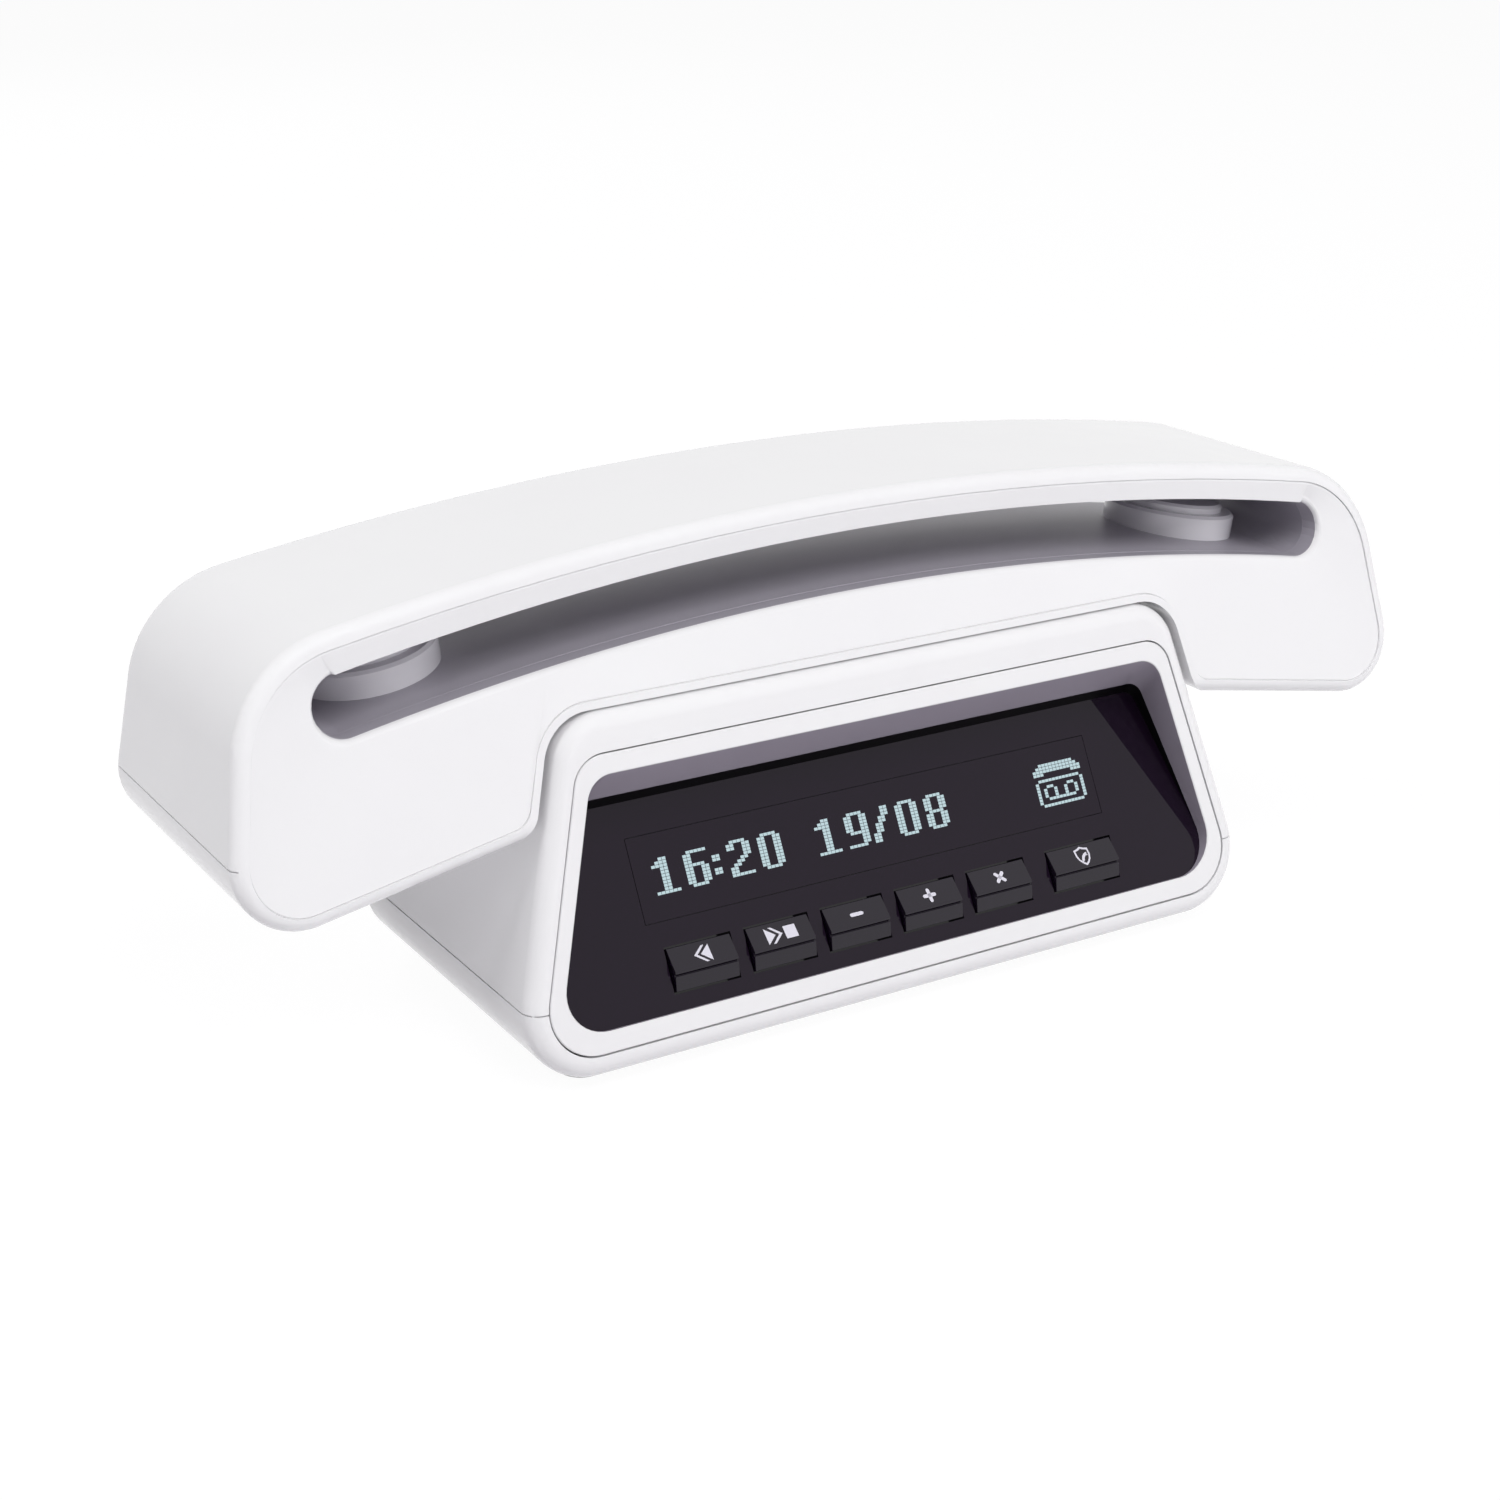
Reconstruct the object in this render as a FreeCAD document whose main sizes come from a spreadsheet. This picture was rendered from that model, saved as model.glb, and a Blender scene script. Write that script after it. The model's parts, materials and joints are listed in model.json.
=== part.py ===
import FreeCAD, Part
import math
import os
import re
from types import SimpleNamespace

import Sketcher

# Cordless telephone with an answering machine in its base: an arched handset lies
# across a wedge-shaped base whose leaning front carries a display panel and six keys.
#
# Frame: millimetres, +X to the right seen from the front, +Y to the back, +Z up.
# The origin is on the table, under the middle of the telephone.

os.makedirs("parts", exist_ok=True)

Vector = FreeCAD.Vector
doc = FreeCAD.newDocument("AnsweringTelephone")

# ---------------------------------------------------------------------------
# Sizes
# ---------------------------------------------------------------------------

sizes = {
    "front_lean": 11.91,  # degrees the front of base and handset leans back
    "back_lean": 5.71,  # degrees the back of base and handset leans forward
    "side_lean": 15.1,  # degrees the sides of the base lean inwards

    "base_front": -34.12,  # y of the base's front plane at table height
    "base_back": 33.52,  # y of the base's back plane at table height
    "base_floor": 2.0,  # underside of the lower shell
    "base_top": 56.2,  # top of the base, where the handset lies
    "base_seam": 14.19,  # height of the joint between the base's shells
    "base_half_width": 68.8,  # half the base's width at its seam
    "base_foot_radius": 11.0,  # rounding of the base's lower corners
    "base_shoulder_radius": 8.5,  # rounding of the base's upper corners
    "base_edge_radius": 3.0,  # rounding round the base's front and back
    "shell_wall": 2.3,  # wall of the moulded shells
    "front_wall": 2.6,  # wall of the base's front, and the bezel's plate
    "seam_gap": 0.25,  # width of the shadow groove where two mouldings meet
    "seam_groove": 0.9,  # depth of that groove
    "well_end": 6.5,  # docking well beyond the handset's board
    "well_half_width": 17.0,  # half the docking well's width
    "well_depth": 1.5,  # depth of the docking well
    "well_radius": 5.0,  # rounding of the docking well's corners

    "bezel_bottom": 6.0,  # height of the bezel's lower edge
    "bezel_head_margin": 5.6,  # shell left over the bezel
    "bezel_border": 3.15,  # shell left beside the bezel
    "bezel_foot_radius": 8.0,  # rounding of the bezel's lower corners
    "bezel_head_radius": 5.5,  # rounding of the bezel's upper corners
    "bezel_foot_width": 3.5,  # bezel under the window
    "bezel_head_width": 3.35,  # bezel over the window
    "bezel_side_width": 2.8,  # bezel beside the window
    "window_foot_radius": 6.5,  # rounding of the window's lower corners
    "window_head_radius": 4.5,  # rounding of the window's upper corners

    "panel_lean": 28.0,  # degrees the display panel leans back
    "panel_recess": 0.6,  # panel behind the window's lower edge
    "panel_head_drop": 5.28,  # panel shorter than the window, up its slope
    "panel_head_set": 6.4,  # panel inside the window at its upper corners
    "panel_foot_set": 0.1,  # panel inside the window at its lower corners
    "panel_foot_radius": 6.4,  # rounding of the panel's lower corners
    "panel_head_radius": 0.8,  # rounding of the panel's upper corners
    "panel_thickness": 2.4,  # thickness of the panel
    "hood_wall": 1.7,  # wall of the hood round the window
    "tray_lean": 21.3,  # degrees the joint of white hood and black tray leans
    "tray_recess": 0.1,  # that joint behind the window's lower edge

    "glass_left_margin": 18.5,  # panel left of the display glass, at the panel's foot
    "glass_right_margin": 20.8,  # panel right of the display glass, at the panel's foot
    "glass_low": 14.0,  # display glass's lower edge up the panel
    "glass_high": 27.5,  # display glass's upper edge up the panel
    "glass_thickness": 1.2,  # thickness of the display glass
    "glass_play": 0.1,  # gap round the display glass
    "module_thickness": 4.0,  # thickness of the display module
    "module_rim": 0.8,  # display module beyond its glass

    "key_low": 2.6,  # key aperture's lower edge up the panel
    "key_high": 10.0,  # key aperture's upper edge up the panel
    "key_ridge_at": 5.9,  # key's ridge up the panel
    "key_ridge_height": 1.5,  # key's ridge above the panel
    "key_toe_height": 0.3,  # key's lower edge above the panel
    "key_head_height": 0.1,  # key's upper edge above the panel
    "key_hole_width": 11.9,  # width of a narrow key's aperture
    "key_hole_wide": 14.0,  # width of the call key's aperture
    "key_play": 0.3,  # gap round a key in its aperture
    "key_pitch": 14.2,  # distance from key to key
    "key_margin": 26.4,  # first key's middle from the panel's lower corner
    "call_key_pitch": 17.4,  # distance from the fifth key to the call key
    "key_travel": 0.8,  # stroke of a base key
    "key_flange": 0.8,  # thickness and overhang of a base key's flange
    "key_edge_radius": 0.3,  # rounding of a base key's edges
    "mat_thickness": 1.0,  # thickness of a silicone key mat
    "mat_margin": 1.0,  # key mat beyond the key apertures
    "mat_post_radius": 2.0,  # radius of the posts that carry the base's key mat
    "dome_height": 0.25,  # height of a key mat's domes
    "dome_radius": 2.2,  # radius of a key mat's domes
    "board_thickness": 1.2,  # thickness of a circuit board

    "foot_radius": 4.6,  # radius of a rubber foot
    "foot_inset": 5.3,  # foot's middle from the bottom plate's edges
    "foot_chamfer": 0.6,  # chamfer of a foot's rim
    "foot_seat": 1.0,  # depth of a foot's seat in the bottom plate
    "foot_height": 2.3,  # height of a foot
    "plate_bottom": 1.3,  # underside of the bottom plate
    "plate_thickness": 2.0,  # thickness of the bottom plate
    "plate_side": 7.2,  # base's side beyond the bottom plate
    "plate_margin": 5.4,  # base's front and back beyond the bottom plate
    "plate_radius": 6.0,  # rounding of the bottom plate's corners
    "plate_play": 0.2,  # gap round the bottom plate
    "floor_wall": 1.7,  # floor of the lower shell over the bottom plate

    "speaker_radius": 18.0,  # radius of the base's loudspeaker
    "speaker_height": 7.5,  # height of the base's loudspeaker
    "speaker_rim": 1.8,  # height of the loudspeaker's rim
    "cone_radius": 15.3,  # radius of the loudspeaker's cone
    "cone_depth": 2.0,  # depth of the cone
    "surround_depth": 0.6,  # depth of the cone's surround
    "dust_cap_radius": 6.3,  # radius of the cone's cap
    "magnet_radius": 10.8,  # radius of the loudspeaker's magnet
    "grille_slot_width": 1.6,  # width of a loudspeaker slot
    "grille_slot_length": 24.0,  # length of a loudspeaker slot
    "grille_pitch": 4.0,  # distance from slot to slot
    "screw_inset_side": 15.6,  # screw from the bottom plate's sides
    "screw_inset": 13.0,  # screw from the bottom plate's front and back
    "screw_head_radius": 2.3,  # radius of a screw's head
    "screw_head_height": 1.0,  # height of a screw's head
    "screw_radius": 1.2,  # radius of a screw's shank
    "screw_length": 9.0,  # length of a base screw under its head
    "screw_point": 0.8,  # length of a screw's point
    "screw_play": 0.15,  # gap round a screw's head and shank
    "pilot_play": 0.05,  # gap round a screw in its boss
    "boss_radius": 3.4,  # radius of the screw bosses

    "main_board_gap": 2.5,  # main board over the loudspeaker
    "main_board_depth": 32.0,  # main board from front to back
    "main_board_set": 6.5,  # main board in front of the base's back plane
    "main_board_overhang": 5.0,  # main board beyond the screws
    "chip_length": 14.0,  # length of the main board's processor
    "chip_set": 3.0,  # processor behind the board's front edge
    "chip_width": 12.0,  # width of the main board's processor
    "chip_height": 1.6,  # height of the main board's processor

    "line_jack_x": -24.0,  # x of the line jack
    "line_jack_width": 13.0,  # width of the line jack
    "line_jack_height": 11.6,  # height of the line jack
    "line_jack_depth": 14.0,  # depth of the line jack
    "line_socket_width": 9.9,  # width of the line jack's socket
    "line_socket_height": 6.8,  # height of the line jack's socket
    "line_socket_depth": 11.5,  # depth of the line jack's socket
    "latch_width": 4.0,  # width of the groove for the plug's latch
    "latch_height": 1.4,  # height of the groove for the plug's latch
    "jack_pitch": 22.0,  # distance between the jacks
    "power_jack_width": 9.0,  # width of the power jack
    "power_jack_height": 11.0,  # height of the power jack
    "power_jack_depth": 13.5,  # depth of the power jack
    "power_socket_radius": 2.8,  # radius of the power jack's socket
    "power_socket_depth": 9.5,  # depth of the power jack's socket
    "power_pin_radius": 1.0,  # radius of the power jack's pin
    "power_pin_set": 0.7,  # that pin inside the socket's mouth
    "jack_play": 0.15,  # gap round a jack in the shell

    "handset_front_set": 1.5,  # handset behind the base's front plane
    "handset_back_set": 0.7,  # handset in front of the base's back plane
    "crown_thickness": 5.95,  # crown over the grip slot, at the middle
    "crown_overshoot": 8.0,  # outline above the crown, before the arch trims it
    "arch_radius": 550.0,  # radius of the handset's arch
    "handset_seam_drop": 12.77,  # joint of the handset's shells under the saddle
    "handset_half": 109.3,  # half the handset's length at its seam
    "end_lean": 9.5,  # degrees the handset's ends lean inwards
    "leg_tip_inset": 14.3,  # reference point of a leg's underside, from the handset's end
    "leg_drop": 22.8,  # that point under the saddle
    "leg_slope": 9.9,  # degrees a leg's underside rises inwards
    "cradle_side_gap": 1.4,  # gap between the base's sides and the legs
    "cradle_gap": 0.3,  # gap between the base's top and the handset
    "head_corner_radius": 18.8,  # rounding of the handset's upper corners
    "toe_corner_radius": 10.0,  # rounding of the legs' outer corners
    "heel_corner_radius": 6.0,  # rounding of the legs' inner corners
    "saddle_corner_radius": 8.0,  # rounding of the saddle's corners
    "rim_radius": 2.2,  # rounding of the handset's front and back rims
    "rim_spread": 3.0,  # saddle outside the form whose rims are rounded, so that it stays sharp
    "handset_wall": 2.4,  # wall of the handset's shells
    "leg_seam_inset": 6.0,  # joint of the shells outside the saddle, at the seam
    "saddle_seam_inset": 12.0,  # joint of the shells outside the saddle, at its top

    "fascia_set": 0.25,  # fascia behind the rim's foremost line
    "fascia_thickness": 4.4,  # thickness of the fascia at its edge
    "fascia_lip": 1.2,  # lower shell's lip under the fascia
    "dish_depth": 2.05,  # depth of the dish down to the grip slot
    "slot_height": 9.3,  # height of the grip slot
    "slot_arch_radius": 515.0,  # radius of the grip slot's upper edge
    "slot_end_margin": 14.8,  # handset's end beyond the grip slot
    "fascia_rim": 0.5,  # flat rim left round the fascia's dish
    "grip_floor": 1.0,  # grip floor above the slot's lower edge, at the tunnel's waist
    "grip_draw": 0.5,  # tunnel's ends inside the slot's ends, at its waist
    "fan_pitch": 6.6,  # distance between the fascia's folds along the slot's lower edge
    "liner_wall": 1.6,  # wall of the grip liner
    "liner_headroom": 2.6,  # handset's board under the liner, at the middle

    "capsule_end_gap": 16.8,  # capsule's middle from the grip slot's end
    "capsule_shift": 0.8,  # capsules in front of the handset's middle
    "capsule_radius": 11.5,  # radius of a capsule's lower tier
    "capsule_step": 3.6,  # height of a capsule's lower tier
    "capsule_height": 5.0,  # height of a capsule
    "capsule_neck_radius": 9.2,  # radius of a capsule's upper tier
    "capsule_chamfer": 0.5,  # chamfer of a capsule's tiers

    "keypad_travel": 0.4,  # stroke of a handset key
    "keypad_proud": 0.6,  # handset key below the handset's underside
    "keypad_x": 4.0,  # x of the keypad's first row
    "keypad_row": 11.6,  # distance between the keypad's rows
    "keypad_column": 10.8,  # distance between the keypad's columns
    "function_gap": 14.0,  # row of function keys from the keypad's first row
    "function_column": 8.2,  # distance between the function keys
    "keycap_length": 8.6,  # size of a digit key along the handset
    "keycap_width": 9.0,  # size of a digit key across the handset
    "function_width": 6.6,  # size of a function key across the handset
    "keycap_radius": 1.8,  # rounding of a handset key's corners
    "keycap_play": 0.3,  # gap round a handset key
    "keycap_flange": 0.5,  # thickness and overhang of a handset key's flange
    "screen_end_gap": 0.5,  # handset display inside the handset's board
    "screen_length": 24.0,  # size of the handset display along the handset
    "screen_width": 26.0,  # size of the handset display across the handset
    "screen_thickness": 1.2,  # thickness of the handset display's window
    "screen_radius": 2.0,  # rounding of the handset display's corners
    "keypad_margin": 0.9,  # handset's board beyond the keypad
    "handset_board_side": 17.2,  # half the handset board's width
    "handset_mat_thickness": 0.6,  # thickness of the handset's key mat
    "board_rib": 1.0,  # thickness of the ribs under the handset's board

    "contact_inset": 4.0,  # charging contacts inside the docking well's end
    "contact_spread": 12.0,  # distance between the charging contacts
    "contact_width": 3.0,  # width of a charging contact
    "contact_length": 6.0,  # length of a charging contact's nose
    "contact_strip": 0.5,  # thickness of a contact's strip
    "contact_play": 0.3,  # gap round a charging contact
    "pad_flange": 0.6,  # thickness and overhang of a charging pad's flange

    "earpiece_radius": 10.0,  # radius of the earpiece's speaker
    "earpiece_height": 4.0,  # height of the earpiece's speaker
    "earpiece_cone_radius": 8.0,  # radius of that speaker's cone
    "earpiece_cone_depth": 1.2,  # depth of that cone
    "earpiece_lip": 0.4,  # depth of its surround
    "earpiece_magnet_radius": 7.0,  # radius of its magnet
    "microphone_radius": 4.85,  # radius of the microphone
    "microphone_height": 4.5,  # height of the microphone
    "microphone_chamfer": 0.5,  # chamfer of the microphone's back
    "sound_hole_radius": 0.8,  # radius of a sound hole
    "sound_ring_radius": 5.0,  # radius of the ring of sound holes
    "battery_end_gap": 8.1,  # battery inside the handset's end wall
    "battery_width": 32.0,  # battery across the handset
    "battery_height": 8.0,  # height of the battery
    "battery_drop": 10.5,  # underside of the battery under the saddle
    "battery_rib": 1.5,  # thickness of the ribs under the battery
    "battery_radius": 1.5,  # rounding of the battery's edges

    "spare": 1.0,  # how far a cutting form reaches past what it cuts
}

# Sizes and places that follow from the ones above, as formulas for the sheet.
worked_out = {
    "saddle_top": "base_top + cradle_gap",
    "handset_front": "base_front + handset_front_set",
    "handset_back": "base_back - handset_back_set",
    "both_leans": "tan(front_lean * 1 deg) - tan(back_lean * 1 deg)",
    "middle_y": "(handset_front + handset_back + saddle_top * both_leans) / 2",

    "bezel_top": "base_top - bezel_head_margin",
    "window_bottom": "bezel_bottom + bezel_foot_width",
    "window_top": "bezel_top - bezel_head_width",
    "window_foot_side": "base_half_width + tan(side_lean * 1 deg) * (base_seam - window_bottom)",
    "window_head_side": "base_half_width + tan(side_lean * 1 deg) * (base_seam - window_top)",
    "window_half_bottom": "window_foot_side - bezel_border - bezel_side_width",
    "window_half_top": "window_head_side - bezel_border - bezel_side_width",
    "window_length": "(window_top - window_bottom) / cos(front_lean * 1 deg)",
    "panel_height": "window_length - panel_head_drop",
    "panel_half_top": "window_half_top - panel_head_set",
    "panel_half_bottom": "window_half_bottom - panel_foot_set",
    "window_y": "base_front + window_bottom * tan(front_lean * 1 deg)",
    "panel_y": "window_y + panel_recess * cos(front_lean * 1 deg)",
    "panel_z": "window_bottom - panel_recess * sin(front_lean * 1 deg)",
    "glass_left": "glass_left_margin - panel_half_bottom",
    "glass_right": "panel_half_bottom - glass_right_margin",
    "key_first": "key_margin - panel_half_bottom",
    "call_key_at": "key_first + 4 * key_pitch + call_key_pitch",
    "mat_top": "panel_thickness + key_play + key_flange + key_travel + dome_height",

    "plate_half_width": "base_half_width - plate_side",
    "plate_front": "base_front + plate_margin",
    "plate_back": "base_back - plate_margin",
    "foot_half_span": "plate_half_width - foot_inset",
    "foot_front": "plate_front + foot_inset",
    "foot_back": "plate_back - foot_inset",
    "speaker_y": "middle_y",
    "plate_top": "plate_bottom + plate_thickness",
    "inner_floor": "plate_top + floor_wall",
    "screw_half_span": "plate_half_width - screw_inset_side",
    "screw_front": "plate_front + screw_inset",
    "screw_back": "plate_back - screw_inset",
    "main_board_height": "inner_floor + speaker_height + main_board_gap",
    "main_board_back": "base_back - main_board_set",
    "main_board_front": "main_board_back - main_board_depth",
    "main_board_half": "screw_half_span + main_board_overhang",
    "power_jack_x": "line_jack_x + jack_pitch",

    "keypad_y": "middle_y",
    "inner_saddle": "saddle_top + handset_wall",
    "mat_low": "inner_saddle + keycap_flange + keypad_travel + keycap_play + dome_height",
    "board_low": "mat_low + handset_mat_thickness",
    "keypad_end": "keypad_x + 3 * keypad_row + keycap_length / 2 + keycap_flange",
    "handset_board_half": "keypad_end + keypad_margin",
    "handset_board_front": "middle_y - handset_board_side",
    "handset_board_back": "middle_y + handset_board_side",
    "function_x": "keypad_x - function_gap",
    "screen_x": "screen_end_gap + screen_length / 2 - handset_board_half",
    "well_half_length": "handset_board_half + well_end",
    "well_front": "middle_y - well_half_width",
    "well_back": "middle_y + well_half_width",
    "contact_x": "well_half_length - contact_inset",
    "contact_front": "middle_y - contact_spread / 2",
    "contact_back": "middle_y + contact_spread / 2",

    "slot_low": "board_low + board_thickness + liner_headroom + liner_wall",
    "slot_crown": "slot_low + slot_height",
    "slot_half": "handset_half - slot_end_margin",
    "crown_height": "slot_crown + crown_thickness",
    "capsule_x": "slot_half - capsule_end_gap",
    "capsule_y": "middle_y - capsule_shift",
    "handset_seam": "saddle_top - handset_seam_drop",
    "leg_tip_x": "handset_half - leg_tip_inset",
    "leg_tip_z": "saddle_top - leg_drop",
    "leg_middle_x": "(handset_half + base_half_width) / 2",
    "leg_middle_y": "(handset_front + handset_back + leg_tip_z * both_leans) / 2",
    "leg_floor_x": "leg_middle_x + handset_wall * sin(leg_slope * 1 deg)",
    "leg_rise": "tan(leg_slope * 1 deg) * (leg_tip_x - leg_middle_x)",
    "leg_floor_z": "leg_tip_z + leg_rise + handset_wall * cos(leg_slope * 1 deg)",
    "battery_z": "saddle_top - battery_drop",
    "battery_left": "base_half_width",
    "battery_right": "handset_half - handset_wall - battery_end_gap",
}

sheet = doc.addObject("Spreadsheet::Sheet", "Sizes")
for row, (name, value) in enumerate(sizes.items(), start=1):
    sheet.set("A%d" % row, name)
    sheet.set("B%d" % row, str(value))
    sheet.setAlias("B%d" % row, name)

doc.recompute()
size_pattern = re.compile(r"\b(" + "|".join(sizes) + r")\b")
worked_pattern = re.compile(r"\b(" + "|".join(worked_out) + r")\b")


def spelled_out(text):
    """Put the formula of each worked-out size in the place of its name."""
    while worked_pattern.search(text):
        text = worked_pattern.sub(lambda found: "(%s)" % worked_out[found.group()], text)
    return text


def bound(text):
    """Turn a formula in size names into an expression on the sheet."""
    return size_pattern.sub(r"Sizes.\1", spelled_out(text))


def number(text):
    """Work out a formula in size names."""
    result = sheet.evalExpression(bound(text))
    return float(getattr(result, "Value", result))


s = SimpleNamespace(**{name: number(name) for name in [*sizes, *worked_out]})


def tan(degrees):
    return math.tan(math.radians(degrees))


def sin(degrees):
    return math.sin(math.radians(degrees))


def cos(degrees):
    return math.cos(math.radians(degrees))


# ---------------------------------------------------------------------------
# Helpers for PartDesign bodies
# ---------------------------------------------------------------------------

nodes = []


def new_body(label, keep=True):
    """Start a body; a kept one becomes a node of the telephone."""
    body = doc.addObject("PartDesign::Body", label)
    body.Label = label
    if keep:
        nodes.append(body)
    return body


def attach(sketch, body, role, at="0"):
    """Lay a sketch on one of its body's origin planes, 'at' along the normal."""
    plane = [item for item in body.Origin.OriginFeatures if item.Role == role][0]
    sketch.AttachmentSupport = [(plane, "")]
    sketch.MapMode = "FlatFace"
    if at != "0":
        shift = "placement(vector(0; 0; %s); rotation(vector(1; 0; 0); 0))" % bound(at)
        sketch.setExpression("AttachmentOffset", shift)


def fix_point(sketch, index, position, spot):
    """Dimension one point of a sketch from its origin."""
    across = sketch.addConstraint(
        Sketcher.Constraint("DistanceX", -1, 1, index, position, number(spot[0])))
    sketch.setExpression("Constraints[%d]" % across, bound(spot[0]))
    upward = sketch.addConstraint(
        Sketcher.Constraint("DistanceY", -1, 1, index, position, number(spot[1])))
    sketch.setExpression("Constraints[%d]" % upward, bound(spot[1]))


def polygon(body, name, role, corners, at="0"):
    """Sketch a closed outline through corners given as pairs of formulas."""
    sketch = body.newObject("Sketcher::SketchObject", name)
    attach(sketch, body, role, at)
    spots = [Vector(number(x), number(y), 0) for x, y in corners]
    count = len(corners)
    for index in range(count):
        sketch.addGeometry(Part.LineSegment(spots[index], spots[(index + 1) % count]))
    for index in range(count):
        sketch.addConstraint(
            Sketcher.Constraint("Coincident", index, 2, (index + 1) % count, 1))
    for index, corner in enumerate(corners):
        fix_point(sketch, index, 1, corner)
    doc.recompute()
    return sketch


def rectangle(body, name, role, left, low, right, high, at="0"):
    """Sketch a rectangle from four formulas."""
    corners = [(left, low), (right, low), (right, high), (left, high)]
    return polygon(body, name, role, corners, at)


def circles(body, name, role, centres, radius, at="0"):
    """Sketch circles of one radius round centres given as pairs of formulas."""
    sketch = body.newObject("Sketcher::SketchObject", name)
    attach(sketch, body, role, at)
    for centre in centres:
        spot = Vector(number(centre[0]), number(centre[1]), 0)
        index = sketch.addGeometry(Part.Circle(spot, Vector(0, 0, 1), number(radius)))
        fix_point(sketch, index, 3, centre)
        girth = sketch.addConstraint(Sketcher.Constraint("Radius", index, number(radius)))
        sketch.setExpression("Constraints[%d]" % girth, bound(radius))
    doc.recompute()
    return sketch


def pad(body, sketch, length, backwards=False):
    """Pad a sketch by a formula."""
    feature = body.newObject("PartDesign::Pad", sketch.Name + "_pad")
    feature.Profile = sketch
    feature.Reversed = backwards
    feature.Length = number(length)
    feature.setExpression("Length", bound(length))
    doc.recompute()
    return feature


def pocket(body, sketch, depth, backwards=False):
    """Cut a sketch into the body by a formula, and see that it cuts."""
    before = body.Shape.Volume
    feature = body.newObject("PartDesign::Pocket", sketch.Name + "_cut")
    feature.Profile = sketch
    feature.Reversed = backwards
    feature.Length = number(depth)
    feature.setExpression("Length", bound(depth))
    doc.recompute()
    if not body.Shape.Volume < before:
        raise RuntimeError("%s cuts nothing" % sketch.Name)
    return feature


def revolve(body, sketch):
    """Turn a profile once round its sketch's upright axis."""
    feature = body.newObject("PartDesign::Revolution", sketch.Name + "_turned")
    feature.Profile = sketch
    feature.ReferenceAxis = (sketch, ["V_Axis"])
    feature.Angle = 360.0
    doc.recompute()
    return feature


def round_edges(body, base, radius, chosen, name="rounding"):
    """Fillet the edges of a feature that a test chooses."""
    names = ["Edge%d" % (index + 1) for index, edge in enumerate(base.Shape.Edges)
             if chosen(edge)]
    feature = body.newObject("PartDesign::Fillet", name)
    feature.Base = (base, names)
    feature.Radius = number(radius)
    feature.setExpression("Radius", bound(radius))
    doc.recompute()
    return feature


def along(axis):
    """Make a test for straight edges that run along a direction."""
    def chosen(edge):
        if edge.Curve.TypeId != "Part::GeomLine":
            return False
        return abs(edge.tangentAt(edge.FirstParameter).dot(axis)) > 0.999
    return chosen


def place(thing, x, y, z, turn="0", axis="1; 0; 0"):
    """Move a body to a place given by formulas, turned about X or another axis."""
    move = "placement(vector(%s; %s; %s); rotation(vector(%s); %s))"
    parts = (bound(x), bound(y), bound(z), axis, bound(turn))
    thing.setExpression("Placement", move % parts)
    doc.recompute()


def keep_shape(label, shape):
    """Make a node from a shape that Part's functions built."""
    feature = doc.addObject("Part::Feature", label)
    feature.Label = label
    feature.Shape = shape
    feature.Placement = FreeCAD.Placement()
    nodes.append(feature)
    return feature


# ---------------------------------------------------------------------------
# Helpers for shells
# ---------------------------------------------------------------------------

far = 400.0
snap = 0.01


def prism(points, depth=far):
    """Extrude an outline of (x, z) points along Y, evenly both ways."""
    corners = [Vector(x, -depth / 2, z) for x, z in points]
    face = Part.Face(Part.makePolygon(corners + corners[:1]))
    return face.extrude(Vector(0, depth, 0))


def leaning_slab(front, back):
    """The space between the leaning front and back, given where they meet the table."""
    low, high = -s.spare, s.crown_height + s.crown_overshoot
    corners = [Vector(-far / 2, front + low * tan(s.front_lean), low),
               Vector(-far / 2, back - low * tan(s.back_lean), low),
               Vector(-far / 2, back - high * tan(s.back_lean), high),
               Vector(-far / 2, front + high * tan(s.front_lean), high)]
    face = Part.Face(Part.makePolygon(corners + corners[:1]))
    return face.extrude(Vector(far, 0, 0))


def inset_outline(points, insets):
    """Move each side of a clockwise outline inwards by a distance of its own."""
    count = len(points)
    lines = []
    for index in range(count):
        x0, z0 = points[index]
        x1, z1 = points[(index + 1) % count]
        length = math.hypot(x1 - x0, z1 - z0)
        across, upward = (x1 - x0) / length, (z1 - z0) / length
        x0, z0 = x0 + upward * insets[index], z0 - across * insets[index]
        lines.append((x0, z0, across, upward))
    moved = []
    for index in range(count):
        xa, za, ua, wa = lines[index - 1]
        xb, zb, ub, wb = lines[index]
        turn = ua * wb - wa * ub
        reach = ((xb - xa) * wb - (zb - za) * ub) / turn
        moved.append((xa + reach * ua, za + reach * wa))
    return moved


def round_corners(solid, spots, radius):
    """Round the edges along Y that pass through (x, z) spots."""
    chosen = []
    for edge in solid.Edges:
        if edge.Curve.TypeId != "Part::GeomLine":
            continue
        if abs(edge.tangentAt(edge.FirstParameter).y) < 0.999:
            continue
        middle = edge.CenterOfMass
        for x, z in spots:
            if math.hypot(middle.x - x, middle.z - z) < snap:
                chosen.append(edge)
    return solid.makeFillet(radius, chosen)


def face_rims(solid, normal):
    """The outer edges of the flat face that looks along a direction."""
    best = None
    for face in solid.Faces:
        if face.Surface.TypeId != "Part::GeomPlane":
            continue
        if face.normalAt(0, 0).dot(normal) > 0.9999 and (best is None or face.Area > best.Area):
            best = face
    return best.OuterWire.Edges


def cylinder_y(radius, x, z, depth=far):
    """A cylinder along Y through (x, z)."""
    return Part.makeCylinder(radius, depth, Vector(x, -depth / 2, z), Vector(0, 1, 0))


def cylinder_z(radius, x, y, low, high):
    """An upright cylinder."""
    return Part.makeCylinder(radius, high - low, Vector(x, y, low))


def block(x0, x1, y0, y1, z0, z1):
    """A box from its limits."""
    return Part.makeBox(x1 - x0, y1 - y0, z1 - z0, Vector(x0, y0, z0))


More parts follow.
